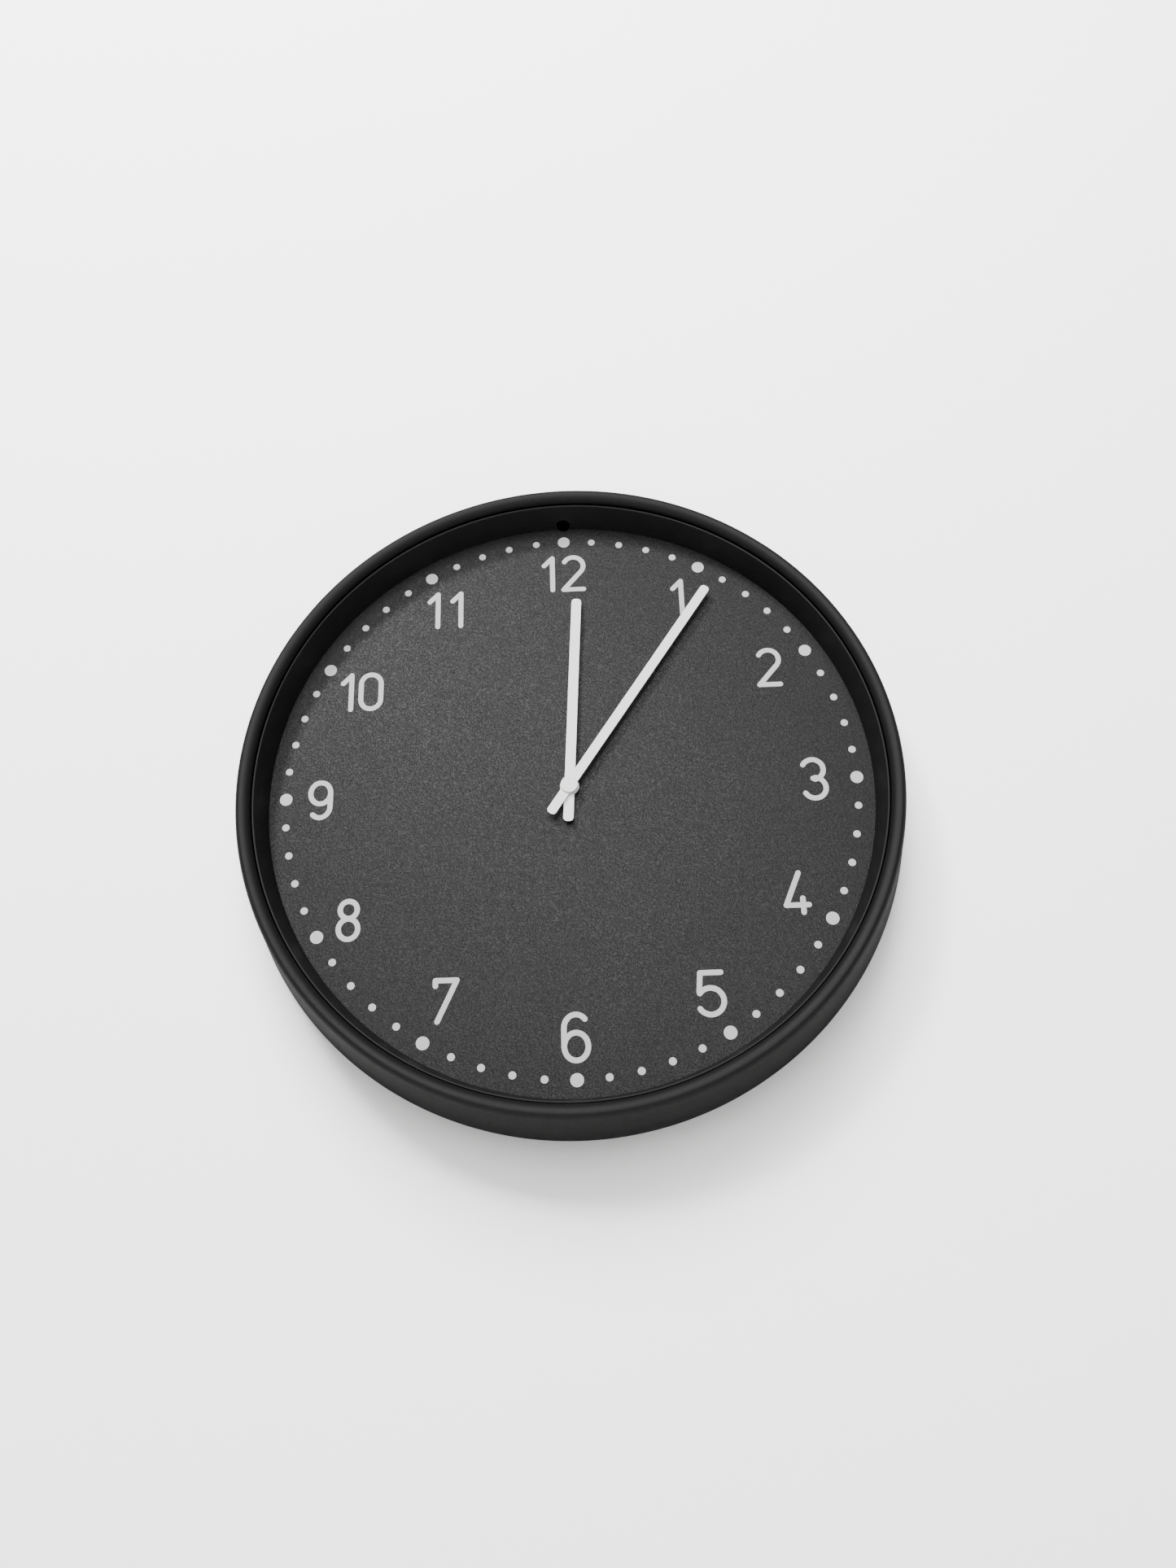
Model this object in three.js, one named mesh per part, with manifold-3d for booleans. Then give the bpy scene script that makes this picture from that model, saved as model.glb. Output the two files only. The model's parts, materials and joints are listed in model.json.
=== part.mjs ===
// Round wall clock: a deep flared frame with a rounded lip, a drafted inner ring, a grained dial
// plate at the bottom of it, two slim hands, and a battery quartz movement behind the dial.
// Millimetres, +Z up (12 o'clock). The face looks along -Y, the back edge lies on the wall
// plane y = 0, and the hand axis is the Y axis.
import * as THREE from "three";
import { mergeVertices } from "three/addons/utils/BufferGeometryUtils.js";
import Module from "manifold-3d";

const wasm = await Module();
wasm.setup();

// ---------------------------------------------------------------- driving dimensions
// frame
const clockDiameter = 380;
const clockDepth = 45.1;          // wall to the crest of the lip
const frameWall = 2.4;
const sideFlare = 6.4;            // the back edge stands out past the crease by this
const lipHeight = 6.2;            // crest above the crease
const lipOuterRun = 3.2;          // crease to crest, in radius
const lipInnerRun = 5.1;          // crest to the inner edge, in radius
const lipInnerDrop = 4.3;         // crest above the inner edge

// inner ring and dial plate
const dialSink = 24.9;            // crest of the lip to the dial surface
const dialThickness = 2.2;
const ringWall = 1.8;             // at the foot
const ringEdge = 1.0;             // at the free edge
const ringDraft = 3.1;            // the ring leans out by this from foot to edge
const ringEdgeDrop = 0.9;         // free edge behind the edge of the lip
const ringEarThickness = 1.5;
const shadowGap = 0.5;            // between the ring and the lip
const sightHoleWidth = 8.1;       // round-ended hole at the foot of the ring
const sightHoleHeight = 9.7;
const sightHoleSink = 1.3;        // its lower end behind the dial surface
const sightHoleNotch = 1.2;       // its bite into the dial

// screws: radii and lengths
const screwShank = 1.3;
const screwHead = 2.9;
const screwHeadTop = 2.0;         // radius of the flat on the head
const screwHeadHeight = 2.0;
const screwLength = 11;
const hangerHeadHeight = 1.4;
const movementScrewLength = 7.4;
const frameScrewCount = 6;        // the first is at 3 o'clock
const bossRadius = 3.2;
const bossSink = 1.2;             // how far a frame boss runs into the side wall
const earWidth = 8.4;
const earCorner = 3.8;

// hanger
const hangerWidth = 44;
const hangerHeight = 26;
const hangerCorner = 3;
const hangerThickness = 1.2;
const hangerDrop = 20.7;          // foot of the ring to the middle of the hanger
const hangerInset = 2.8;          // wall plane to the back of the hanger
const hangerPostSpread = 15;
const hangerPostRadius = 4;
const hangerPostFloor = 4.2;      // below the screw hole
const keyholeHead = 4.8;          // radius
const keyholeSlot = 2.4;          // radius
const keyholeTravel = 8;

// hands, with angles in degrees past 12
const hourTipBehind = 29.6;       // shorter than the minute hand by this
const hourHandTail = 20.7;
const hourHandWidth = 5.75;
const hourHandAngle = 3.3;
const hourHandLift = 3.4;         // dial surface to the back of the hand
const hourHubRadius = 5.35;
const minuteTipGap = 21.5;        // tip to the foot of the ring
const minuteHandTail = 19.8;
const minuteHandWidth = 5.5;
const minuteHandAngle = 34.4;
const minuteHandLift = 5.4;
const minuteHubRadius = 4.6;
const handThickness = 0.6;
const handTipRadius = 2.2;
const handCollarWall = 0.8;
const capRadius = 4.9;
const capHeight = 1.2;
const capChamfer = 0.4;
const capPipRadius = 0.6;
const capPipHeight = 0.3;
const capSpigotRadius = 0.8;
const capSpigotLength = 2.4;

// movement body
const housingWall = 1.2;
const bayWall = 1.0;              // between the battery and the wheels
const bushingWall = 1.2;
const bushingProud = 0.7;         // past the dial surface
const movementEarOut = 4.5;       // screw outside the body
const movementEarRise = 16;       // screw above and below the hand axis
const movementEarFront = 4;       // behind the inner face
const movementEarThickness = 2;
const movementEarRadius = 3.6;
const trainPlateFront = 5.2;      // behind the inner face
const trainPlateThickness = 1.2;
const knobRadius = 5.0;
const knobHeight = 2.5;
const knobFlutes = 16;
const knobFluteDepth = 0.5;
const knobPocketDepth = 3.0;
const batteryRadius = 7.1;
const batteryLength = 50.5;
const batteryPipRadius = 2.7;
const batteryPipLength = 1.2;
const batteryChamfer = 0.6;
const skirtDepth = 1.3;           // rim of the cover inside the walls
const skirtWall = 0.8;
const platePost = { radius: 1.6, pin: 0.9 };
const boardPost = { radius: 1.3, pin: 0.7 };
const platePostInset = 3.3;       // from the side walls
const platePostRise = 3.5;        // from the battery bay
const platePostDrop = 4.3;        // from the top wall
const platePostLeftX = -13.5;     // the one beside the coil
const wheelRoom = 1.0;            // between the largest wheel and the battery bay

// motor and electrics
const magnetRadius = 3.0;
const statorHole = 3.5;           // radius
const statorNeck = 0.7;           // thinnest metal beside the hole
const statorFoot = 3.2;
const coilInset = 4.2;            // coil's axis from the side wall
const coilDrop = 4;               // upper end of the bobbin from the top wall
const coilLength = 18.2;
const coilMiddle = 10.25;         // behind the inner face
const coilFlange = 1.0;
const coilFlangeRadius = 3.1;
const coilCoreWidth = 2.4;
const bobbinRadius = 2.0;
const windingRadius = 2.8;
const boardWidth = 13.6;
const boardHeight = 22.8;
const boardRise = 1.2;            // from the battery bay
const boardSideGap = 0.5;         // to the contact strip
const boardPostInset = 1.9;       // from the board's edges
const chipRise = 6.3;             // from the lower edge of the board
const chipSize = 5;
const chipHeight = 1.1;
const crystalRise = 15.8;
const crystalRadius = 1.0;
const crystalLength = 6.2;
const contactThickness = 0.4;
const contactFront = 3;           // behind the inner face
const contactSink = 1.7;          // back edge in front of the cover's seat
const contactLegDepth = 1.2;
const contactHalfWidth = 5.1;
const contactTabRise = 3.5;       // from the battery bay
const contactFoot = 1.2;
const contactBossTip = 2.0;       // radii
const contactBossRoot = 3.6;
const contactBossHeight = 1.1;    // at the least
const contactBossGap = 0.4;       // to the end of the battery

// shafts
const arborRadius = 0.45;
const arborHubRadius = 1.35;
const setShaftRadius = 1.2;
const minuteShaftRadius = 1.5;
const hourTubeRadius = 2.5;

// toothed pairs: tooth counts and the distance between their axes
const motionPair = { wheel: 36, pinion: 12, distance: 12 };        // cannon to minute wheel
const hourPair = { wheel: 40, pinion: 10, distance: 12 };          // minute pinion to hour wheel
const centrePair = { wheel: 64, pinion: 8, distance: 10.8 };
const thirdPair = { wheel: 60, pinion: 8, distance: 10.8 };
const secondsPair = { wheel: 50, pinion: 10, distance: 10.8 };
const stepPair = { wheel: 48, pinion: 8, distance: 8.4 };
const tipHeight = 0.8;            // of the module
const rootDepth = 1.3;            // of the module
const tipShare = 0.07;            // half width of a tooth tip, of the pitch
const rootShare = 0.19;

// bearings from one axis to the next, in degrees from +X toward +Z
const minuteWheelBearing = 30;
const settingBearing = 75;
const thirdBearing = 150;
const stepBearing = 85;
const rotorBearing = 130;

// front and back of each layer, behind the inner face
const hourWheelLayer = [0.4, 1.4];
const minutePinionLayer = [0.3, 2.4];
const minuteWheelLayer = [2.2, 3.0];
const cannonLayer = [1.9, 3.3];
const thirdPinionLayer = [3.5, 7.0];
const centreWheelLayer = [3.8, 4.6];
const secondsPinionLayer = [6.7, 8.5];
const thirdWheelLayer = [6.8, 7.6];
const stepPinionLayer = [8.0, 9.5];
const secondsWheelLayer = [8.3, 8.9];
const rotorPinionLayer = [9.1, 10.3];
const stepWheelLayer = [9.4, 9.9];
const magnetLayer = [10.6, 12.4];
const statorLayer = [10.9, 11.7];
const coilCoreLayer = [9.9, 10.6];
const boardLayer = [8.6, 9.6];

// clearances
const seatGap = 0.3;              // between pieces that rest on each other
const turnGap = 0.3;              // around and between turning pieces
const shaftGap = 0.4;             // between the minute shaft and the hour tube
const drillGap = 0.3;             // around a screw
const cutOver = 1;                // how far a cutter runs past a face

// facets of a full turn
const rimFacets = 60;
const roundFacets = 24;
const shaftFacets = 12;
const pinFacets = 8;

// ---------------------------------------------------------------- derived places
const backRadius = clockDiameter / 2;
const creaseRadius = backRadius - sideFlare;
const crestRadius = creaseRadius - lipOuterRun;
const lipInnerRadius = crestRadius - lipInnerRun;
const crestY = -clockDepth;
const creaseY = crestY + lipHeight;
const lipEdgeY = crestY + lipInnerDrop;

const dialY = crestY + dialSink;
const dialBackY = dialY + dialThickness;
const ringFootY = dialY - seatGap;
const ringEarY = ringFootY - ringEarThickness;
const ringEdgeY = lipEdgeY + ringEdgeDrop;
const ringEdgeOuter = lipInnerRadius - shadowGap;
const ringEdgeInner = ringEdgeOuter - ringEdge;
const ringFootRadius = ringEdgeInner - ringDraft;
const dialRadius = ringFootRadius + ringWall;
const bossEndY = ringEarY - seatGap;
const minuteHandLength = ringFootRadius - minuteTipGap;
const hourHandLength = minuteHandLength - hourTipBehind;
const bossRing = creaseRadius - frameWall - bossRadius + bossSink;
const shaftHole = arborRadius + turnGap;
const hourTubeBore = minuteShaftRadius + shaftGap;
const minuteShaftBore = capSpigotRadius + seatGap;
const bushingBore = hourTubeRadius + turnGap;
const bushingRadius = bushingBore + bushingWall;
const screwHole = screwShank + drillGap;

// The movement is as wide as the battery between its contacts, or as the largest wheel above
// the battery bay, and as deep as the battery.
const besideBattery = housingWall + contactThickness + 2 * seatGap;
const sizeForBattery = batteryLength + contactBossHeight + 2 * besideBattery;
const hourWheelTip = (hourPair.wheel / 2 + tipHeight) * moduleOf(hourPair);
const bayDepth = housingWall + 2 * seatGap + 2 * batteryRadius + bayWall;
const movementSize = Math.max(sizeForBattery, 2 * (bayDepth + wheelRoom + hourWheelTip));
const movementDepth = housingWall + 2 * seatGap + 2 * batteryRadius;
const movementFrontY = dialBackY + seatGap;
const innerY = movementFrontY + housingWall;
const movementBack = movementDepth - housingWall;
const coverFront = movementBack - housingWall;
const coverSeat = coverFront - seatGap;
const half = movementSize / 2;
const halfInner = half - housingWall;
const trainPlateBack = trainPlateFront + trainPlateThickness;
const movementEarBack = movementEarFront + movementEarThickness;
const movementBossBackY = innerY + movementEarFront - seatGap;
const movementCorners = [[1, 1], [-1, 1], [-1, -1], [1, -1]]
  .map(([sideX, sideZ]) => [sideX * (half + movementEarOut), sideZ * movementEarRise]);

const hangerBackY = -hangerInset;
const hangerFrontY = hangerBackY - hangerThickness;
const hangerRise = ringFootRadius - hangerDrop;
const hangerPosts = [[-hangerPostSpread, hangerRise], [hangerPostSpread, hangerRise]];
const hangerHoleFrontY = dialBackY + hangerPostFloor;

const minuteHandFrontY = dialY - minuteHandLift - handThickness;
const capBackY = minuteHandFrontY - seatGap;

const handAxis = [0, 0];
const minuteWheelAt = polarFrom(handAxis, minuteWheelBearing, motionPair.distance);
const settingAt = polarFrom(minuteWheelAt, settingBearing, motionPair.distance);
const thirdAt = polarFrom(handAxis, thirdBearing, thirdPair.distance);
const stepAt = polarFrom(handAxis, stepBearing, secondsPair.distance);
const rotorAt = polarFrom(stepAt, rotorBearing, stepPair.distance);

const batteryZ = -halfInner + seatGap + batteryRadius;
const batteryMiddle = seatGap + batteryRadius;
const bayBottomZ = batteryZ + batteryRadius + seatGap;
const bayTopZ = bayBottomZ + bayWall;
const contactX = halfInner - seatGap;
const contactInnerX = contactX - contactThickness;
const batteryRightX = contactInnerX - seatGap;
const batteryLeftX = batteryRightX - batteryLength;
const contactBack = coverSeat - contactSink;
const contactLegFront = contactBack - contactLegDepth;
const contactBottomZ = batteryZ - contactHalfWidth;
const contactTabTopZ = bayTopZ + contactTabRise;

const coilX = coilInset - halfInner;
const coilTopZ = halfInner - coilDrop;
const coilBottomZ = coilTopZ - coilLength;

const platePostX = halfInner - platePostInset;
const platePostLowZ = bayTopZ + platePostRise;
const platePostHighZ = halfInner - platePostDrop;
const platePosts = [
  [-platePostX, platePostLowZ],
  [platePostX, platePostLowZ],
  [platePostLeftX, platePostHighZ],
  [platePostX, platePostHighZ],
];
const boardRight = contactInnerX - boardSideGap;
const boardLeft = boardRight - boardWidth;
const boardBottom = bayTopZ + boardRise;
const boardTop = boardBottom + boardHeight;
const boardMiddleX = (boardLeft + boardRight) / 2;
const boardPosts = [
  [boardRight - boardPostInset, boardTop - boardPostInset],
  [boardLeft + boardPostInset, boardBottom + boardPostInset],
];
const chipAt = [boardMiddleX, boardBottom + chipRise];
const crystalAt = [boardMiddleX, boardBottom + crystalRise];

const knobBack = movementBack - seatGap;
const knobFront = knobBack - knobHeight;
const settingShaftBack = knobBack - knobHeight / 3;
const pocketBack = movementBack - knobPocketDepth;
const pocketFront = pocketBack - housingWall;
const pocketRadius = knobRadius + 2 * turnGap;

// ---------------------------------------------------------------- shape helpers
function solidOf(geometry) {
  const bare = geometry.clone();
  bare.deleteAttribute("normal");
  bare.deleteAttribute("uv");
  const merged = mergeVertices(bare, 1e-4);
  return new wasm.Manifold(new wasm.Mesh({
    numProp: 3,
    vertProperties: new Float32Array(merged.attributes.position.array),
    triVerts: new Uint32Array(merged.index.array),
  }));
}

function geometryOf(solid) {
  const result = solid.getMesh();
  const geometry = new THREE.BufferGeometry();
  geometry.setAttribute("position", new THREE.BufferAttribute(result.vertProperties, 3));
  geometry.setIndex(new THREE.BufferAttribute(result.triVerts, 1));
  geometry.computeVertexNormals();
  return geometry;
}

// Joins the first list into one solid and cuts the second list out of it.
function shaped(joined, cutters = []) {
  let solid = solidOf(joined[0]);
  for (const geometry of joined.slice(1)) solid = solid.add(solidOf(geometry));
  for (const geometry of cutters) solid = solid.subtract(solidOf(geometry));
  return geometryOf(solid);
}

// Turned about the Y axis from [radius, y] pairs, anticlockwise with radius to the right.
function turned(outline, facets) {
  const points = outline.map(([radius, y]) => new THREE.Vector2(radius, y));
  if (outline[0][0] !== 0) points.push(points[0].clone());
  return new THREE.LatheGeometry(points, facets);
}

// An elliptic arc as [radius, y] pairs, with its angles in degrees.
function arcPoints(centre, radii, fromAngle, toAngle, steps) {
  return Array.from({ length: steps + 1 }, (_, step) => {
    const angle = THREE.MathUtils.degToRad(fromAngle + (toAngle - fromAngle) * step / steps);
    return [centre[0] + radii[0] * Math.cos(angle), centre[1] + radii[1] * Math.sin(angle)];
  });
}

// A cylinder along Y at [x, z].
function rod(radius, front, back, facets, [x, z] = [0, 0]) {
  return new THREE.CylinderGeometry(radius, radius, back - front, facets)
    .translate(x, (front + back) / 2, z);
}

function tube(outer, inner, front, back, facets) {
  return turned([[inner, front], [outer, front], [outer, back], [inner, back]], facets);
}

// A box given by its ranges in x, y and z.
function block([x0, x1], [y0, y1], [z0, z1]) {
  return new THREE.BoxGeometry(x1 - x0, y1 - y0, z1 - z0)
    .translate((x0 + x1) / 2, (y0 + y1) / 2, (z0 + z1) / 2);
}

// A flat outline in x and z, given thickness from front to back.
function plate(outline, front, back, curveSegments = 4) {
  return new THREE.ExtrudeGeometry(outline, { depth: back - front, bevelEnabled: false, curveSegments })
    .rotateX(Math.PI / 2)
    .translate(0, back, 0);
}

function roundedBar([left, right], [bottom, top], radius) {
  const bar = new THREE.Shape();
  bar.moveTo(right, bottom + radius);
  bar.absarc(right - radius, top - radius, radius, 0, Math.PI / 2);
  bar.absarc(left + radius, top - radius, radius, Math.PI / 2, Math.PI);
  bar.absarc(left + radius, bottom + radius, radius, Math.PI, 1.5 * Math.PI);
  bar.absarc(right - radius, bottom + radius, radius, 1.5 * Math.PI, 2 * Math.PI);
  return bar;
}

function polarFrom([x, z], degrees, distance) {
  const angle = THREE.MathUtils.degToRad(degrees);
  return [x + distance * Math.cos(angle), z + distance * Math.sin(angle)];
}

function mesh(name, geometry, look, [x, z] = [0, 0]) {
  const piece = new THREE.Mesh(geometry, new THREE.MeshStandardMaterial(look));
  piece.name = name;
  piece.position.set(x, 0, z);
  return piece;
}

// ---------------------------------------------------------------- looks
function finish(color, roughness, metalness = 0) {
  return { color, roughness, metalness };
}

const satinBlack = finish(0x1b1b1c, 0.42);
const dialGrey = finish(0x3a3a3b, 0.75);
const handWhite = finish(0xe9e9e6, 0.5);
const movementBlack = finish(0x18181a, 0.5);
const gearCream = finish(0xe6e3da, 0.45);
const gearBlack = finish(0x26262a, 0.45);
const knobGrey = finish(0x8c8c8a, 0.5);
const steel = finish(0xb5b7ba, 0.32, 1);
const brass = finish(0xc8a552, 0.3, 1);
const copper = finish(0xb8672f, 0.4, 1);
const boardGreen = finish(0x2f6b3c, 0.5);
const chipBlack = finish(0x101012, 0.6);
const bobbinCream = finish(0xd9d6cc, 0.5);
const batteryGrey = finish(0x6f7478, 0.35, 0.5);
const magnetGrey = finish(0x55565a, 0.5, 0.8);

// ---------------------------------------------------------------- frame, ring and dial
const frameScrewAngles = Array.from(
  { length: frameScrewCount }, (_, index) => index * 360 / frameScrewCount);
const frameScrewPlaces = frameScrewAngles.map((angle) => polarFrom(handAxis, angle, bossRing));

// A pan-head screw on the Y axis: its head sits behind `seat` and its point is forward.
function screw(seat, length, headHeight) {
  const point = seat - length;
  return turned([
    [0, point],
    [screwShank, point + screwShank],
    [screwShank, seat],
    [screwHead, seat],
    [screwHead, seat + headHeight / 2],
    [screwHeadTop, seat + headHeight],
    [0, seat + headHeight],
  ], pinFacets);
}

function screwSet(name, places, geometry) {
  return places.map((place, index) => mesh(`${name}_${index + 1}`, geometry.clone(), steel, place));
}

// One wall all round: a side that flares to the back and a rounded bead at the front,
// with a blind boss behind the bead for each frame screw.
function outerFrame() {
  const lipCentre = [crestRadius, lipEdgeY];
  const creaseCentre = [crestRadius, creaseY];
  const section = [
    ...arcPoints(lipCentre, [lipInnerRun, lipInnerDrop], 180, 270, 3),
    ...arcPoints(creaseCentre, [lipOuterRun, lipHeight], 270, 360, 3).slice(1),
    [backRadius, 0],
    [backRadius - frameWall, 0],
    ...arcPoints(creaseCentre, [lipOuterRun - frameWall, lipHeight - frameWall], 360, 270, 1),
    ...arcPoints(lipCentre, [lipInnerRun - frameWall, lipInnerDrop - frameWall], 270, 180, 2).slice(1),
  ];
  const holeFront = dialBackY - screwLength;
  const bosses = frameScrewPlaces.map((place) => rod(
    bossRadius, crestY + frameWall, bossEndY, pinFacets, place));
  const holes = frameScrewPlaces.map((place) => rod(
    screwHole, holeFront, bossEndY + cutOver, pinFacets, place));
  return mesh("outer_frame", shaped([turned(section, rimFacets), ...bosses], holes), satinBlack);
}

// The round-ended hole at 12 o'clock, as a cutter that runs outward along Z.
function sightHoleCutter() {
  const radius = sightHoleWidth / 2;
  const front = dialY + sightHoleSink - sightHoleHeight;
  const outline = roundedBar([-radius, radius], [front, front + sightHoleHeight], radius);
  const depth = sightHoleNotch + ringDraft + ringWall + cutOver;
  return new THREE.ExtrudeGeometry(outline, { depth, bevelEnabled: false, curveSegments: 5 })
    .translate(0, 0, ringFootRadius - sightHoleNotch);
}

// Tabs at the rim, one for each frame screw, that start at the given radius.
function ears(start, front, back) {
  const side = earWidth / 2;
  const outline = roundedBar([start, bossRing + side], [-side, side], earCorner);
  return frameScrewAngles.map((angle) => plate(outline, front, back, 3)
    .rotateY(-THREE.MathUtils.degToRad(angle)));
}

function earHoles(front, back) {
  return frameScrewPlaces.map((place) => rod(screwHole, front - cutOver, back + cutOver, pinFacets, place));
}

// The drafted wall round the dial; its ears are held between the frame and the dial plate.
function innerRing() {
  const section = [
    [ringFootRadius, ringFootY],
    [ringEdgeInner, ringEdgeY],
    [ringEdgeOuter, ringEdgeY],
    [ringFootRadius + ringWall, ringFootY],
  ];
  return mesh("inner_ring", shaped(
    [turned(section, rimFacets), ...ears(ringFootRadius + ringWall / 2, ringEarY, ringFootY)],
    [sightHoleCutter(), ...earHoles(ringEarY, ringFootY)],
  ), satinBlack);
}

// The grained plate, with ears for the frame screws, bosses for the movement, and two posts
// for the hanger behind it.
function dialPlate() {
  const disc = tube(dialRadius, bushingRadius + seatGap, dialY, dialBackY, rimFacets);
  const rooted = dialBackY - dialThickness / 4;
  const bosses = movementCorners.map((place) => rod(
    bossRadius, rooted, movementBossBackY, pinFacets, place));
  const bossHoleFront = innerY + movementEarBack - movementScrewLength;
  const bossHoles = movementCorners.map((place) => rod(
    screwHole, bossHoleFront, movementBossBackY + cutOver, pinFacets, place));
  const posts = hangerPosts.map((place) => rod(
    hangerPostRadius, rooted, hangerFrontY - seatGap, shaftFacets, place));
  const postHoles = hangerPosts.map((place) => rod(
    screwHole, hangerHoleFrontY, hangerFrontY + cutOver, pinFacets, place));
  return mesh("dial_plate", shaped(
    [disc, ...ears(ringFootRadius, dialY, dialBackY), ...bosses, ...posts],
    [sightHoleCutter(), ...earHoles(dialY, dialBackY), ...bossHoles, ...postHoles],
  ), dialGrey);
}

// A steel plate with a keyhole, on two posts at 12 o'clock.
function hangerPlate() {
  const middle = hangerHeight / 2;
  const headZ = hangerRise - keyholeTravel / 2;
  const slotTopZ = headZ + keyholeTravel + keyholeSlot;
  const outline = roundedBar(
    [-hangerWidth / 2, hangerWidth / 2], [hangerRise - middle, hangerRise + middle], hangerCorner);
  const slot = roundedBar([-keyholeSlot, keyholeSlot], [headZ - keyholeSlot, slotTopZ], keyholeSlot);
  const cutters = [
    rod(keyholeHead, hangerFrontY - cutOver, hangerBackY + cutOver, roundFacets, [0, headZ]),
    plate(slot, hangerFrontY - cutOver, hangerBackY + cutOver, 4),
    ...hangerPosts.map((place) => rod(
      screwHole, hangerFrontY - cutOver, hangerBackY + cutOver, pinFacets, place)),
  ];
  return mesh("hanger_plate", shaped([plate(outline, hangerFrontY, hangerBackY)], cutters), steel);
}

function caseGroup() {
  const group = new THREE.Group();
  group.add(outerFrame(), innerRing(), dialPlate(), hangerPlate());
  const frameScrew = screw(dialBackY + seatGap, screwLength - 2 * seatGap, screwHeadHeight);
  const hangerSeatY = hangerBackY + seatGap;
  const hangerScrewLength = hangerSeatY - hangerHoleFrontY - 3 * seatGap;
  const hangerScrew = screw(hangerSeatY, hangerScrewLength, hangerHeadHeight);
  group.add(...screwSet("frame_screw", frameScrewPlaces, frameScrew));
  group.add(...screwSet("hanger_screw", hangerPosts, hangerScrew));
  return group;
}

// ---------------------------------------------------------------- hands
// A flat bar with rounded ends, a round hub, a collar behind it and a bore for its shaft.
function hand(name, { length, tail, width, hubRadius, lift, collarLift, bore, angle }) {
  const back = dialY - lift;
  const front = back - handThickness;
  const collarBack = dialY - collarLift;
  const outline = roundedBar([-width / 2, width / 2], [-tail, length], handTipRadius);
  const hub = rod(hubRadius, front, back, roundFacets);
  const collar = rod(bore + handCollarWall, back - handThickness / 2, collarBack, shaftFacets);
  const hole = rod(bore, front - cutOver, collarBack + cutOver, shaftFacets);
  const piece = mesh(name, shaped([plate(outline, front, back), hub, collar], [hole]), handWhite);
  piece.rotation.y = THREE.MathUtils.degToRad(angle);
  return piece;
}

// A small round cap with a pip; its spigot goes into the hollow end of the minute shaft.
function handCap() {
  const front = capBackY - capHeight;
  return mesh("hand_cap", turned([
    [0, front - capPipHeight],
    [capPipRadius / 2, front - capPipHeight],
    [capPipRadius, front],
    [capRadius - capChamfer, front],
    [capRadius, front + capChamfer],
    [capRadius, capBackY],
    [capSpigotRadius, capBackY],
    [capSpigotRadius, capBackY + capSpigotLength],
    [0, capBackY + capSpigotLength],
  ], roundFacets), handWhite);
}

function handsGroup() {
  const group = new THREE.Group();
  const hourHand = hand("hour_hand", {
    length: hourHandLength,
    tail: hourHandTail,
    width: hourHandWidth,
    hubRadius: hourHubRadius,
    lift: hourHandLift,
    collarLift: bushingProud + 2 * turnGap,
    bore: hourTubeRadius + seatGap,
    angle: hourHandAngle,
  });
  const minuteHand = hand("minute_hand", {
    length: minuteHandLength,
    tail: minuteHandTail,
    width: minuteHandWidth,
    hubRadius: minuteHubRadius,
    lift: minuteHandLift,
    collarLift: hourHandLift + handThickness + turnGap,
    bore: minuteShaftRadius + seatGap,
    angle: minuteHandAngle,
  });
  group.add(hourHand, minuteHand, handCap());
  return group;
}

// ---------------------------------------------------------------- wheels
// In the movement, y counts from the inner face of the housing toward the wall.
function toothRing(teeth, module, phase) {
  const pitchAngle = 2 * Math.PI / teeth;
  const root = teeth * module / 2 - rootDepth * module;
  const tip = teeth * module / 2 + tipHeight * module;
  const corners = [[root, -rootShare], [tip, -tipShare], [tip, tipShare], [root, rootShare]];
  const points = [];
  for (let tooth = 0; tooth < teeth; tooth += 1) {
    for (const [radius, share] of corners) {
      const angle = phase + (tooth + share) * pitchAngle;
      points.push(new THREE.Vector2(radius * Math.cos(angle), radius * Math.sin(angle)));
    }
  }
  return new THREE.Shape(points);
}

function moduleOf(pair) {
  return 2 * pair.distance / (pair.wheel + pair.pinion);
}

// Turns a pinion so that one of its teeth sits in a gap of the wheel, whose first tooth
// points along +X. `bearing` is the direction from the wheel to the pinion.
function pinionPhase(pair, bearing) {
  const direction = THREE.MathUtils.degToRad(bearing);
  const pitchAngle = 2 * Math.PI / pair.wheel;
  const gap = (Math.round(direction / pitchAngle - 0.5) + 0.5) * pitchAngle;
  return direction + Math.PI - (gap - direction) * pair.wheel / pair.pinion;
}

function wheelDisc(pair, layer) {
  return plate(toothRing(pair.wheel, moduleOf(pair), 0), ...layer);
}

function pinionBar(pair, bearing, layer) {
  return plate(toothRing(pair.pinion, moduleOf(pair), pinionPhase(pair, bearing)), ...layer);
}

// Depths at which arbors end: in blind holes of the floor and the cover, and half way
// through the train plate from either side.
const floorPivot = -housingWall / 2;
const coverPivot = coverFront + housingWall / 2;
const plateMiddle = (trainPlateFront + trainPlateBack) / 2;
const platePivotFront = plateMiddle - turnGap / 2;
const platePivotBack = plateMiddle + turnGap / 2;

function arbor(front, back) {
  return rod(arborRadius, front, back, pinFacets);
}

function fromDial(lift) {
  return dialY - lift - innerY;
}

// Hour wheel with the tube that carries the hour hand; the minute shaft turns inside it.
function hourWheel() {
  const tubeFront = fromDial(hourHandLift + handThickness);
  const pipe = rod(hourTubeRadius, tubeFront, hourWheelLayer[1], shaftFacets);
  const bore = rod(hourTubeBore, tubeFront - cutOver, hourWheelLayer[1] + cutOver, shaftFacets);
  return mesh("hour_wheel", shaped([wheelDisc(hourPair, hourWheelLayer), pipe], [bore]), gearCream);
}

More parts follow.
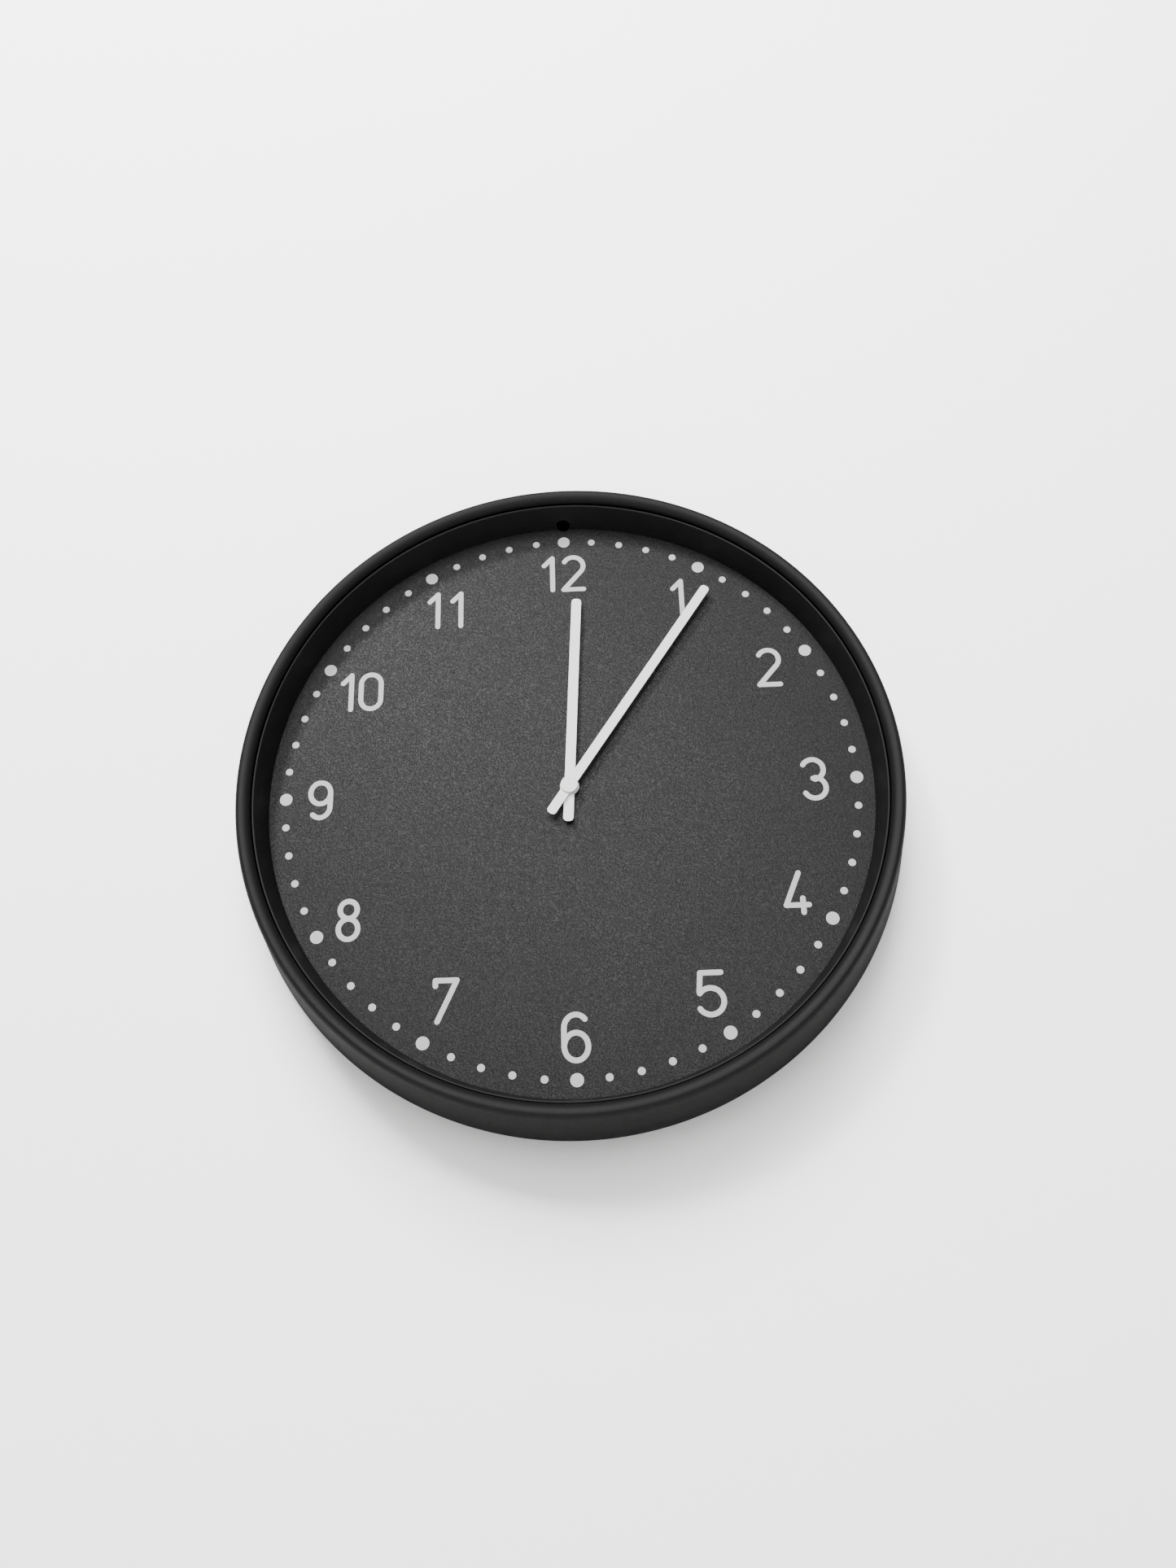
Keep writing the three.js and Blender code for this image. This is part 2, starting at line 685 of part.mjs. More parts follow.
// Minute shaft with its pinion, and a blind bore for the cap in its front end.
function minuteShaft() {
  const shaftFront = fromDial(minuteHandLift + handThickness);
  const pinion = pinionBar(motionPair, minuteWheelBearing + 180, cannonLayer);
  const shaft = rod(minuteShaftRadius, shaftFront, cannonLayer[1], shaftFacets);
  const boreBack = shaftFront + capSpigotLength + seatGap;
  const bore = rod(minuteShaftBore, shaftFront - cutOver, boreBack, shaftFacets);
  return mesh("minute_shaft", shaped([pinion, shaft], [bore]), gearBlack);
}

function minuteWheel() {
  return mesh("minute_wheel", shaped([
    wheelDisc(motionPair, minuteWheelLayer),
    pinionBar(hourPair, minuteWheelBearing, minutePinionLayer),
    arbor(floorPivot, platePivotFront),
  ]), gearCream, minuteWheelAt);
}

function settingPinion() {
  return mesh("setting_pinion", shaped([
    pinionBar(motionPair, settingBearing, cannonLayer),
    rod(setShaftRadius, floorPivot, settingShaftBack, shaftFacets),
  ]), gearBlack, settingAt);
}

function centreWheel() {
  return mesh("centre_wheel", shaped([
    wheelDisc(centrePair, centreWheelLayer),
    rod(arborHubRadius, cannonLayer[1] + turnGap, centreWheelLayer[1], pinFacets),
    arbor(centreWheelLayer[0], platePivotFront),
  ]), gearCream);
}

function thirdWheel() {
  return mesh("third_wheel", shaped([
    wheelDisc(thirdPair, thirdWheelLayer),
    pinionBar(centrePair, thirdBearing, thirdPinionLayer),
    arbor(floorPivot, coverPivot),
  ]), gearCream, thirdAt);
}

function secondsWheel() {
  return mesh("seconds_wheel", shaped([
    wheelDisc(secondsPair, secondsWheelLayer),
    pinionBar(thirdPair, thirdBearing + 180, secondsPinionLayer),
    arbor(platePivotBack, coverPivot),
  ]), gearCream);
}

function stepWheel() {
  return mesh("step_wheel", shaped([
    wheelDisc(stepPair, stepWheelLayer),
    pinionBar(secondsPair, stepBearing, stepPinionLayer),
    arbor(plateMiddle, coverPivot),
  ]), gearCream, stepAt);
}

function rotor() {
  return mesh("rotor", shaped([
    pinionBar(stepPair, rotorBearing, rotorPinionLayer),
    arbor(plateMiddle, coverPivot),
  ]), gearCream, rotorAt);
}

function rotorMagnet() {
  const ring = tube(magnetRadius, arborRadius + seatGap, ...magnetLayer, shaftFacets);
  return mesh("rotor_magnet", shaped([ring]), magnetGrey, rotorAt);
}

// ---------------------------------------------------------------- movement body
// A box that is open at the back: the bushing for the hands is in front, the battery bay at
// the bottom, and posts inside carry the train plate and the circuit board.
function movementHousing() {
  const rooted = -housingWall / 2;
  const outside = block([-half, half], [-housingWall, movementBack], [-half, half]);
  const hollow = block([-halfInner, halfInner], [0, movementBack + cutOver], [-halfInner, halfInner]);
  const coverStep = block(
    [-half - cutOver, half + cutOver], [coverSeat, movementBack + cutOver], [bayBottomZ, half + cutOver]);
  const wall = block([rooted - halfInner, halfInner - rooted], [rooted, coverSeat], [bayBottomZ, bayTopZ]);
  const notches = [-1, 1].map((side) => block(
    [side * halfInner - 2 * contactThickness - seatGap, side * halfInner + 2 * contactThickness + seatGap]
      .map((x) => THREE.MathUtils.clamp(x, -halfInner, halfInner)),
    [contactFront - seatGap, coverSeat + cutOver],
    [bayBottomZ - seatGap, bayTopZ + seatGap]));
  const bushingFront = fromDial(bushingProud);
  const bushing = rod(bushingRadius, bushingFront, rooted, roundFacets);
  const bushingHole = rod(bushingBore, bushingFront - cutOver, cutOver, shaftFacets);
  const ears = movementCorners.flatMap(([x, z]) => {
    const side = Math.sign(x);
    const root = side * (half + rooted);
    return [
      rod(movementEarRadius, movementEarFront, movementEarBack, shaftFacets, [x, z]),
      block([Math.min(x, root), Math.max(x, root)], [movementEarFront, movementEarBack],
        [z - movementEarRadius, z + movementEarRadius]),
    ];
  });
  const earHoles = movementCorners.map((place) => rod(
    screwHole, movementEarFront - cutOver, movementEarBack + cutOver, pinFacets, place));
  const posts = [
    ...steppedPosts(platePosts, platePost, trainPlateFront, trainPlateBack),
    ...steppedPosts(boardPosts, boardPost, ...boardLayer),
  ];
  const pivots = [minuteWheelAt, thirdAt].map((place) => rod(
    shaftHole, floorPivot - seatGap, cutOver, pinFacets, place));
  const settingPivot = rod(setShaftRadius + turnGap, floorPivot - seatGap, cutOver, shaftFacets, settingAt);
  const shell = shaped([outside], [hollow, coverStep]);
  return mesh("movement_housing", shaped(
    [shell, wall, bushing, ...ears, ...posts],
    [bushingHole, ...notches, ...earHoles, ...pivots, settingPivot],
  ), movementBlack);
}

// A post up to a plate, with a pin that goes through it.
function steppedPosts(places, post, plateFront, plateBack) {
  return places.flatMap((place) => [
    rod(post.radius, -housingWall / 2, plateFront - seatGap, pinFacets, place),
    rod(post.pin, -housingWall / 2, plateBack + seatGap, pinFacets, place),
  ]);
}

// The plate that carries the middle pivots of the wheel train.
function trainPlate() {
  const edge = contactInnerX - seatGap;
  const outline = roundedBar([-edge, edge], [bayTopZ + seatGap, edge], platePost.radius);
  const holeAt = (radius, place) => rod(
    radius, trainPlateFront - cutOver, trainPlateBack + cutOver, pinFacets, place);
  const cutters = [
    ...[handAxis, minuteWheelAt, stepAt, rotorAt].map((place) => holeAt(shaftHole, place)),
    holeAt(thirdPair.pinion * moduleOf(centrePair) / 2 + 2 * turnGap, thirdAt),
    holeAt(setShaftRadius + turnGap, settingAt),
    ...platePosts.map((place) => holeAt(platePost.pin + seatGap, place)),
    ...boardPosts.map((place) => holeAt(boardPost.radius + seatGap, place)),
  ];
  const coilWindow = block([coilX - coilFlangeRadius - seatGap, coilX + coilFlangeRadius + seatGap],
    [trainPlateBack - seatGap * 2, trainPlateBack + cutOver], [coilBottomZ - seatGap, coilTopZ + seatGap]);
  return mesh("train_plate", shaped(
    [plate(outline, trainPlateFront, trainPlateBack)], [...cutters, coilWindow]), movementBlack);
}

// The lid over the wheels, with a pocket for the setting knob and blind pivot holes inside.
function movementCover() {
  const lid = block([-half, half], [coverFront, movementBack], [bayBottomZ + seatGap, half]);
  const skirtEdge = halfInner - seatGap;
  const skirt = block([-skirtEdge, skirtEdge], [coverFront - skirtDepth, coverFront + cutOver / 2],
    [bayTopZ + seatGap, skirtEdge]);
  const skirtInside = skirtEdge - skirtWall;
  const skirtHollow = block([-skirtInside, skirtInside], [coverFront - skirtDepth - cutOver, coverFront],
    [bayTopZ + seatGap + skirtWall, skirtInside]);
  const pocket = rod(pocketRadius, pocketBack, movementBack + cutOver, roundFacets, settingAt);
  const pocketWall = rod(
    pocketRadius + housingWall, pocketFront, movementBack - housingWall / 2, roundFacets, settingAt);
  const shaftCut = rod(
    setShaftRadius + turnGap, pocketFront - cutOver, movementBack, shaftFacets, settingAt);
  const pivots = [thirdAt, handAxis, stepAt, rotorAt].map((place) => rod(
    shaftHole, coverFront - cutOver, coverPivot + seatGap, pinFacets, place));
  const body = shaped([lid, skirt], [skirtHollow]);
  return mesh("movement_cover", shaped([body, pocketWall], [pocket, shaftCut, ...pivots]), movementBlack);
}

// A fluted knob on the back end of the setting shaft.
function settingKnob() {
  const outline = new THREE.Shape();
  const points = [];
  for (let step = 0; step < 2 * knobFlutes; step += 1) {
    const angle = step * Math.PI / knobFlutes;
    const radius = step % 2 ? knobRadius : knobRadius - knobFluteDepth;
    points.push(new THREE.Vector2(radius * Math.cos(angle), radius * Math.sin(angle)));
  }
  outline.setFromPoints(points);
  const seat = rod(setShaftRadius + seatGap, knobFront - cutOver, settingShaftBack + seatGap, shaftFacets);
  return mesh("setting_knob", shaped([plate(outline, knobFront, knobBack)], [seat]), knobGrey, settingAt);
}

// ---------------------------------------------------------------- motor and electrics
// A C-shaped lamination round the magnet, with its two feet on the ends of the coil core.
function stator() {
  const right = rotorAt[0] + statorHole + statorNeck;
  const left = coilX - coilCoreWidth / 2;
  const windowRight = rotorAt[0] - statorHole - statorNeck * 2;
  const top = coilTopZ + statorFoot + seatGap;
  const bottom = coilBottomZ - statorFoot - seatGap;
  const body = block([left, right], statorLayer, [bottom, top]);
  const cutters = [
    block([left - cutOver, windowRight], [statorLayer[0] - cutOver, statorLayer[1] + cutOver],
      [coilBottomZ - seatGap, coilTopZ + seatGap]),
    rod(statorHole, statorLayer[0] - cutOver, statorLayer[1] + cutOver, shaftFacets, rotorAt),
    rod(shaftHole + turnGap, statorLayer[0] - cutOver, statorLayer[1] + cutOver, pinFacets, thirdAt),
  ];
  return mesh("stator", shaped([body], cutters), steel);
}

function coilCore() {
  const side = coilCoreWidth / 2;
  const over = statorFoot + seatGap;
  return mesh("coil_core", block(
    [coilX - side, coilX + side], coilCoreLayer, [coilBottomZ - over, coilTopZ + over]), steel);
}

// Turned along Z at the coil, from [radius, z] pairs.
function turnedUpright(outline, facets) {
  return turned(outline, facets).rotateX(Math.PI / 2).translate(coilX, coilMiddle, 0);
}

function coreSlot() {
  const side = coilCoreWidth / 2 + seatGap;
  return block([coilX - side, coilX + side], [coilCoreLayer[0] - seatGap, coilCoreLayer[1] + seatGap],
    [coilBottomZ - cutOver, coilTopZ + cutOver]);
}

function coilBobbin() {
  const drum = turnedUpright([
    [0, coilBottomZ],
    [coilFlangeRadius, coilBottomZ],
    [coilFlangeRadius, coilBottomZ + coilFlange],
    [bobbinRadius, coilBottomZ + coilFlange],
    [bobbinRadius, coilTopZ - coilFlange],
    [coilFlangeRadius, coilTopZ - coilFlange],
    [coilFlangeRadius, coilTopZ],
    [0, coilTopZ],
  ], shaftFacets);
  return mesh("coil_bobbin", shaped([drum], [coreSlot()]), bobbinCream);
}

function coilWinding() {
  const inner = bobbinRadius + seatGap;
  const bottom = coilBottomZ + coilFlange + seatGap;
  const top = coilTopZ - coilFlange - seatGap;
  const wound = turnedUpright([
    [inner, bottom], [windingRadius, bottom], [windingRadius, top], [inner, top],
  ], shaftFacets);
  return mesh("coil_winding", shaped([wound]), copper);
}

function circuitBoard() {
  const board = block([boardLeft, boardRight], boardLayer, [boardBottom, boardTop]);
  const holes = boardPosts.map((place) => rod(
    boardPost.pin + seatGap, boardLayer[0] - cutOver, boardLayer[1] + cutOver, pinFacets, place));
  return mesh("circuit_board", shaped([board], holes), boardGreen);
}

function controllerChip() {
  const front = boardLayer[1] + seatGap;
  return mesh("controller_chip", block(
    [-chipSize / 2, chipSize / 2], [front, front + chipHeight], [-chipSize / 2, chipSize / 2],
  ), chipBlack, chipAt);
}

function quartzCrystal() {
  const can = new THREE.CylinderGeometry(crystalRadius, crystalRadius, crystalLength, shaftFacets)
    .rotateX(Math.PI / 2)
    .translate(0, boardLayer[1] + seatGap + crystalRadius, 0);
  return mesh("quartz_crystal", can, steel, crystalAt);
}

// The strip behind the right end of the battery, with a tab at the edge of the board.
function contactPositive() {
  return mesh("contact_positive", shaped([
    block([contactInnerX, contactX], [contactFront, contactBack], [contactBottomZ, contactTabTopZ]),
  ]), steel);
}

// A plate with a raised boss behind the left end of the battery, and a long leg to the board.
function contactNegative() {
  const legZ = [bayTopZ + seatGap, bayTopZ + seatGap + contactThickness];
  const bossRootX = -contactInnerX - contactThickness / 4;
  const bossTipX = batteryLeftX - contactBossGap;
  const bossLength = bossTipX - bossRootX;
  const boss = new THREE.CylinderGeometry(contactBossTip, contactBossRoot, bossLength, shaftFacets)
    .rotateZ(-Math.PI / 2)
    .translate((bossRootX + bossTipX) / 2, batteryMiddle, batteryZ);
  const footX = [boardLeft + seatGap, boardLeft + seatGap + contactFoot];
  return mesh("contact_negative", shaped([
    block([-contactX, -contactInnerX], [contactFront, contactBack], [contactBottomZ, legZ[1]]),
    block([-contactX, footX[1]], [contactLegFront, contactBack], legZ),
    block(footX, [boardLayer[1] + seatGap, contactBack], legZ),
    boss,
  ]), steel);
}

// A cylindrical cell lying along X with its pip to the right.
function battery() {
  const shoulder = batteryRightX - batteryPipLength;
  const cell = turned([
    [0, batteryLeftX],
    [batteryRadius - batteryChamfer, batteryLeftX],
    [batteryRadius, batteryLeftX + batteryChamfer],
    [batteryRadius, shoulder - batteryChamfer],
    [batteryRadius - batteryChamfer, shoulder],
    [batteryPipRadius, shoulder],
    [batteryPipRadius, batteryRightX],
    [0, batteryRightX],
  ], roundFacets)
    .rotateZ(-Math.PI / 2)
    .translate(0, batteryMiddle, batteryZ);
  return mesh("battery", shaped([cell]), batteryGrey);
}

function movementGroup() {
  const group = new THREE.Group();
  group.position.y = innerY;
  group.add(movementHousing(), trainPlate(), movementCover(), settingKnob());
  group.add(hourWheel(), minuteShaft(), minuteWheel(), settingPinion());
  group.add(centreWheel(), thirdWheel(), secondsWheel(), stepWheel(), rotor(), rotorMagnet());
  group.add(stator(), coilCore(), coilBobbin(), coilWinding());
  group.add(circuitBoard(), controllerChip(), quartzCrystal());
  group.add(contactPositive(), contactNegative(), battery());
  const earScrew = screw(movementEarBack + seatGap, movementScrewLength, screwHeadHeight);
  group.add(...screwSet("movement_screw", movementCorners, earScrew));
  return group;
}

const clock = new THREE.Group();
clock.add(caseGroup(), handsGroup(), movementGroup());
export default clock;
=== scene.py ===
"""A round wall clock: a black case with a rounded lip and a grained dial, two white hands,
printed dots and numerals, and a battery quartz movement behind the dial.

Metres, +Z up at 12 o'clock. The face looks along -Y, the wall is the plane y = 0, and the hands
turn about the Y axis.
"""
import json
import math

import bmesh
import bpy
from mathutils import Matrix, Vector

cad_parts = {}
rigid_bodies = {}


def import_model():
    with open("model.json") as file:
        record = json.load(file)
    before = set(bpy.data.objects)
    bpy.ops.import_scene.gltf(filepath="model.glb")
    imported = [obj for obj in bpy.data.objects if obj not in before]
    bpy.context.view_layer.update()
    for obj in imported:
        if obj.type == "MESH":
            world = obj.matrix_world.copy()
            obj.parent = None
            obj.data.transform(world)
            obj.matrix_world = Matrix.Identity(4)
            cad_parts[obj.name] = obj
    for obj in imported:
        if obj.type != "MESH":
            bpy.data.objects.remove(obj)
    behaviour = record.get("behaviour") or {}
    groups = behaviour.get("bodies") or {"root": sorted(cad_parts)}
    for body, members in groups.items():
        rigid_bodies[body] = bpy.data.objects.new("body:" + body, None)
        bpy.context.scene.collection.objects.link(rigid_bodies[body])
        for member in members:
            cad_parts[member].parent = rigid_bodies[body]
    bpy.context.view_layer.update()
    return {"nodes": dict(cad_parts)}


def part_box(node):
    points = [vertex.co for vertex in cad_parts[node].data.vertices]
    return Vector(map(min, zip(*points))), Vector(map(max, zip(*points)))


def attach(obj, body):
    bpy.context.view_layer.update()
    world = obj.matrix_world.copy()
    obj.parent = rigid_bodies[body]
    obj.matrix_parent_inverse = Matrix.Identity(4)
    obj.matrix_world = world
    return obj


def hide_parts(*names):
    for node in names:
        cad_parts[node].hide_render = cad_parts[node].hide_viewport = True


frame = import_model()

bl_info = {
    "name": "Round wall clock",
    "version": (1, 0, 0),
    "blender": (4, 5, 0),
    "location": "View3D > Sidebar > Clock",
    "description": "Builds the visible pieces of a round wall clock on its CAD frame",
    "category": "Object",
}

MM = 0.001
RIM_SIDES = 256
ROUND_SIDES = 64
SMALL_SIDES = 32
SMOOTH_ANGLE = math.radians(32)
FRAME_SCREW_ANGLES = range(30, 360, 60)
SCREW_HOLE = 1.6 * MM
HANGER_POST = 4 * MM
EAR_THICKNESS = 1.5 * MM
SEAT_GAP = 0.3 * MM
# A cutter runs past the faces it opens by OVERRUN, and a boss starts ROOT deep in its plate.
OVERRUN = 1 * MM
ROOT = 0.5 * MM
# Raised rim of the hole at 12 o'clock.
HOLE_RIM = 0.55 * MM
HOLE_RIM_DEPTH = 5.4 * MM
HOLE_RIM_PROUD = 0.35 * MM
HOLE_RIM_WALL = 1.2 * MM
# Dial plate, and the movement's bushing, wall and ears behind it.
CENTRE_HOLE = 4.3 * MM
DIAL_CHAMFER = 0.2 * MM
BUSHING_TO_DIAL_BACK = 2.9 * MM
BUSHING_LENGTH = 3.2 * MM
HOUSING_WALL = 1.2 * MM
HOUSING_EAR_SINK = 4 * MM
RIB_RINGS = (163 * MM, 112 * MM, 60 * MM)
RIB_DRAFT = 0.15 * MM
PRINT_ROOT = 0.05 * MM


# ---------------------------------------------------------------- properties
def length(name, description, millimetres):
    return bpy.props.FloatProperty(
        name=name, description=description, default=millimetres * MM, unit="LENGTH", precision=5)


def colour(name, description, red, green, blue):
    return bpy.props.FloatVectorProperty(
        name=name, description=description, default=(red, green, blue), subtype="COLOR", min=0, max=1)


def angle(name, description, degrees):
    return bpy.props.FloatProperty(
        name=name, description=description, default=math.radians(degrees), unit="ROTATION")


class CaseSizes(bpy.types.PropertyGroup):
    """Sizes of the frame and of the inner ring."""
    frame_wall: length("Frame wall", "Thickness of the outer frame", 2.4)
    flare: length("Flare", "The back edge stands out past the crease by this", 6.4)
    lip_height: length("Lip height", "Crest of the lip above the crease", 6.2)
    lip_outer_run: length("Outer run", "Crease to crest, in radius", 3.2)
    lip_inner_run: length("Inner run", "Crest to the inner edge, in radius", 5.1)
    lip_inner_drop: length("Inner drop", "Crest above the inner edge", 4.3)
    edge_rounding: length("Edge rounding", "Radius on the moulded edges", 0.35)
    ring_wall: length("Ring wall", "Thickness of the ring at its foot", 1.8)
    ring_edge: length("Ring edge", "Thickness of the ring at its free edge", 1.0)
    ring_gap: length("Shadow gap", "Between the ring and the lip", 0.5)
    ring_draft: length("Ring draft", "The ring leans out by this from foot to edge", 3.1)
    hole_width: length("Hole width", "Width of the round-ended hole at 12 o'clock", 8.1)
    hole_height: length("Hole height", "Height of the hole, across the ring", 9.7)
    hole_sink: length("Hole sink", "Lower end of the hole behind the dial surface", 1.3)
    hole_notch: length("Hole notch", "Bite of the hole into the dial", 1.6)
    notch_radius: length("Notch radius", "Curve of that bite", 3.6)
    boss_radius: length("Boss radius", "Bosses for the screws", 3.2)
    ear_width: length("Ear width", "Tabs at the rim for the frame screws", 8.4)


class DialSizes(bpy.types.PropertyGroup):
    """Sizes of the dial's print and of the ribs behind it."""
    numeral_ring: length("Numeral ring", "Hand axis to the middle of a numeral", 139.4)
    dot_ring: length("Dot ring", "Hand axis to the dots", 161.3)
    hour_dot: length("Hour dot", "Diameter of the dots at the hours", 7.2)
    minute_dot: length("Minute dot", "Diameter of the dots between the hours", 4.15)
    pen: length("Pen", "Width of the strokes of the numerals", 2.95)
    print_height: length("Print height", "Thickness of the print above the dial", 0.1)
    rib_height: length("Rib height", "Ribs behind the dial", 3.0)
    rib_width: length("Rib width", "Ribs behind the dial", 1.4)


class HandSizes(bpy.types.PropertyGroup):
    """Sizes and places of the hands."""
    hour_length: length("Hour hand", "Hand axis to the tip", 119.6)
    hour_tail: length("Hour tail", "Hand axis to the end of the tail", 20.7)
    hour_width: length("Hour width", "Width of the hour hand", 5.75)
    hour_hub: length("Hour hub", "Radius of the disc round the axis", 5.35)
    hour_angle: angle("Hour angle", "Past 12 o'clock", 3.3)
    minute_length: length("Minute hand", "Hand axis to the tip", 149.2)
    minute_tail: length("Minute tail", "Hand axis to the end of the tail", 19.8)
    minute_width: length("Minute width", "Width of the minute hand", 5.5)
    minute_hub: length("Minute hub", "Radius of the disc round the axis", 4.6)
    minute_angle: angle("Minute angle", "Past 12 o'clock", 34.4)
    tip_radius: length("Tip radius", "Corners of the tips", 2.2)
    thickness: length("Thickness", "Sheet of the hands", 0.6)
    edge: length("Edge", "Rounding of the pressed edge", 0.22)


class FinishColours(bpy.types.PropertyGroup):
    """Colours of the finishes."""
    case_black: colour("Case black", "Frame and inner ring", 0.0065, 0.0065, 0.0066)
    dial_grey: colour("Dial grey", "Grained dial", 0.0078, 0.0078, 0.0079)
    print_grey: colour("Print grey", "Dots and numerals", 0.50, 0.50, 0.50)
    hand_white: colour("Hand white", "Hands and cap", 0.86, 0.86, 0.85)
    movement_black: colour("Movement black", "Housing and cover", 0.012, 0.012, 0.013)
    knob_grey: colour("Knob grey", "Setting knob", 0.22, 0.22, 0.215)
    gear_cream: colour("Wheel cream", "Wheels and bobbin", 0.74, 0.71, 0.63)
    board_green: colour("Board green", "Circuit board", 0.03, 0.14, 0.05)
    copper: colour("Copper", "Coil winding", 0.72, 0.27, 0.10)
    zinc: colour("Zinc", "Screws, hanger and contacts", 0.60, 0.61, 0.62)
    sleeve_grey: colour("Sleeve grey", "Battery sleeve", 0.11, 0.13, 0.16)
    wall_pale: colour("Wall pale", "Wall behind the clock", 0.86, 0.86, 0.855)


class StageSettings(bpy.types.PropertyGroup):
    """Camera, lamps, wall and floor."""
    camera_place: bpy.props.FloatVectorProperty(
        name="Camera place", description="Where the camera stands",
        default=(0.02689, -0.65588, -0.24238), subtype="XYZ", unit="LENGTH")
    camera_aim: bpy.props.FloatVectorProperty(
        name="Camera aim", description="The point in the middle of the view",
        default=(0.01031, -0.0202, 0.00230), subtype="XYZ", unit="LENGTH")
    camera_roll: angle("Camera roll", "Turn about the line of sight", -1.763)
    lens: bpy.props.FloatProperty(
        name="Lens", description="Focal length in millimetres", default=27.68)
    key_power: bpy.props.FloatProperty(
        name="Key power", description="Soft lamp above and left", default=44, unit="POWER")
    fill_power: bpy.props.FloatProperty(
        name="Fill power", description="Broad lamp in front", default=38, unit="POWER")
    round_power: bpy.props.FloatProperty(
        name="Round power", description="Very broad lamp that fills the shadows", default=34, unit="POWER")
    wash_power: bpy.props.FloatProperty(
        name="Wash power", description="Soft lamp that lights the wall alone", default=250, unit="POWER")
    back_power: bpy.props.FloatProperty(
        name="Back power", description="Lamps behind the wall", default=20, unit="POWER")
    room_light: bpy.props.FloatProperty(
        name="Room light", description="Strength of the even light all round", default=0.14)
    floor_drop: length("Floor drop", "Hand axis to the floor", 1400)


# ---------------------------------------------------------------- modelling helpers
def only(*pieces):
    """Selects these pieces alone, with the first one active."""
    bpy.ops.object.select_all(action="DESELECT")
    for piece in pieces:
        piece.select_set(True)
    bpy.context.view_layer.objects.active = pieces[0] if pieces else None


def named(name):
    piece = bpy.context.object
    piece.name = name
    piece.data.name = name
    return piece


def settled(piece):
    """Puts the piece's place, turn and size into its mesh."""
    only(piece)
    bpy.ops.object.transform_apply(location=True, rotation=True, scale=True)
    return piece


def edit(piece, action, picked=None):
    """Runs an edit-mode action on all of the piece, or on the edges whose two ends pass a test."""
    only(piece)
    bpy.context.tool_settings.mesh_select_mode = (False, True, False)
    bpy.ops.object.mode_set(mode="EDIT")
    bpy.ops.mesh.select_all(action="DESELECT" if picked else "SELECT")
    if picked:
        shape = bmesh.from_edit_mesh(piece.data)
        for edge in shape.edges:
            if picked(*[vertex.co for vertex in edge.verts]):
                edge.select_set(True)
        bmesh.update_edit_mesh(piece.data)
    action()
    bpy.ops.object.mode_set(mode="OBJECT")
    return piece


def face_outward(piece):
    def tidy():
        bpy.ops.mesh.remove_doubles(threshold=0.002 * MM)
        bpy.ops.mesh.normals_make_consistent(inside=False)
    return edit(piece, tidy)


def turned(name, outline, sides=ROUND_SIDES):
    """Turns (radius, y) pairs about the Y axis. Radius 0 at both ends makes a solid."""
    solid = outline[0][0] == 0
    rings = [place for place in outline if place[0] > 0]
    radius, depth = rings[0]
    only()
    bpy.ops.mesh.primitive_circle_add(
        vertices=sides, radius=radius, location=(0, depth, 0), rotation=(math.pi / 2, 0, 0))
    piece = settled(named(name))
    bpy.context.tool_settings.mesh_select_mode = (False, True, False)
    bpy.ops.object.mode_set(mode="EDIT")
    bpy.ops.mesh.select_all(action="SELECT")
    for next_radius, next_depth in rings[1:]:
        grow = next_radius / radius
        bpy.ops.mesh.extrude_edges_indiv()
        bpy.ops.transform.resize(value=(grow, 1, grow), center_override=(0, 0, 0))
        bpy.ops.transform.translate(value=(0, next_depth - depth, 0))
        radius, depth = next_radius, next_depth
    bpy.ops.mesh.select_all(action="DESELECT")
    bpy.ops.mesh.select_non_manifold(
        extend=False, use_wire=False, use_multi_face=False, use_non_contiguous=False, use_verts=False)
    if solid:
        bpy.ops.mesh.fill_holes(sides=0)
    else:
        bpy.ops.mesh.bridge_edge_loops()
    bpy.ops.object.mode_set(mode="OBJECT")
    return face_outward(piece)


def curved(centre, radii, start, end, steps):
    """An elliptic arc as (radius, y) pairs, with its angles in degrees."""
    places = []
    for step in range(steps + 1):
        turn = math.radians(start + (end - start) * step / steps)
        places.append((centre[0] + radii[0] * math.cos(turn), centre[1] + radii[1] * math.sin(turn)))
    return places


def filleted(corners, steps=3):
    """Rounds the corners of a closed outline of (radius, y, fillet) triples."""
    places = []
    for index, (across, along, fillet) in enumerate(corners):
        corner = Vector((across, along))
        if fillet == 0:
            places.append((across, along))
            continue
        before = Vector(corners[index - 1][:2]) - corner
        after = Vector(corners[(index + 1) % len(corners)][:2]) - corner
        half = before.angle(after) / 2
        reach = min(fillet / math.tan(half), before.length / 2, after.length / 2)
        radius = reach * math.tan(half)
        centre = corner + (before.normalized() + after.normalized()).normalized() * radius / math.sin(half)
        first = corner + before.normalized() * reach - centre
        last = corner + after.normalized() * reach - centre
        sweep = first.angle_signed(last)
        for step in range(steps + 1):
            spoke = Matrix.Rotation(-sweep * step / steps, 2) @ first
            places.append(tuple(centre + spoke))
    return places


def rod(name, radius, front, back, place=(0, 0), sides=SMALL_SIDES):
    """A cylinder along Y at (x, z)."""
    only()
    bpy.ops.mesh.primitive_cylinder_add(
        vertices=sides, radius=radius, depth=back - front,
        location=(place[0], (front + back) / 2, place[1]), rotation=(math.pi / 2, 0, 0))
    return settled(named(name))


def block(name, low, high):
    only()
    bpy.ops.mesh.primitive_cube_add(size=1, location=(Vector(low) + Vector(high)) / 2)
    piece = named(name)
    piece.scale = Vector(high) - Vector(low)
    return settled(piece)


def along_y(first, second):
    """True for an edge that runs along Y."""
    across = first - second
    return math.hypot(across.x, across.z) < 0.01 * abs(across.y)


def bevelled(piece, radius, segments, picked):
    return edit(piece, lambda: bpy.ops.mesh.bevel(offset=radius, segments=segments, affect="EDGES"), picked)


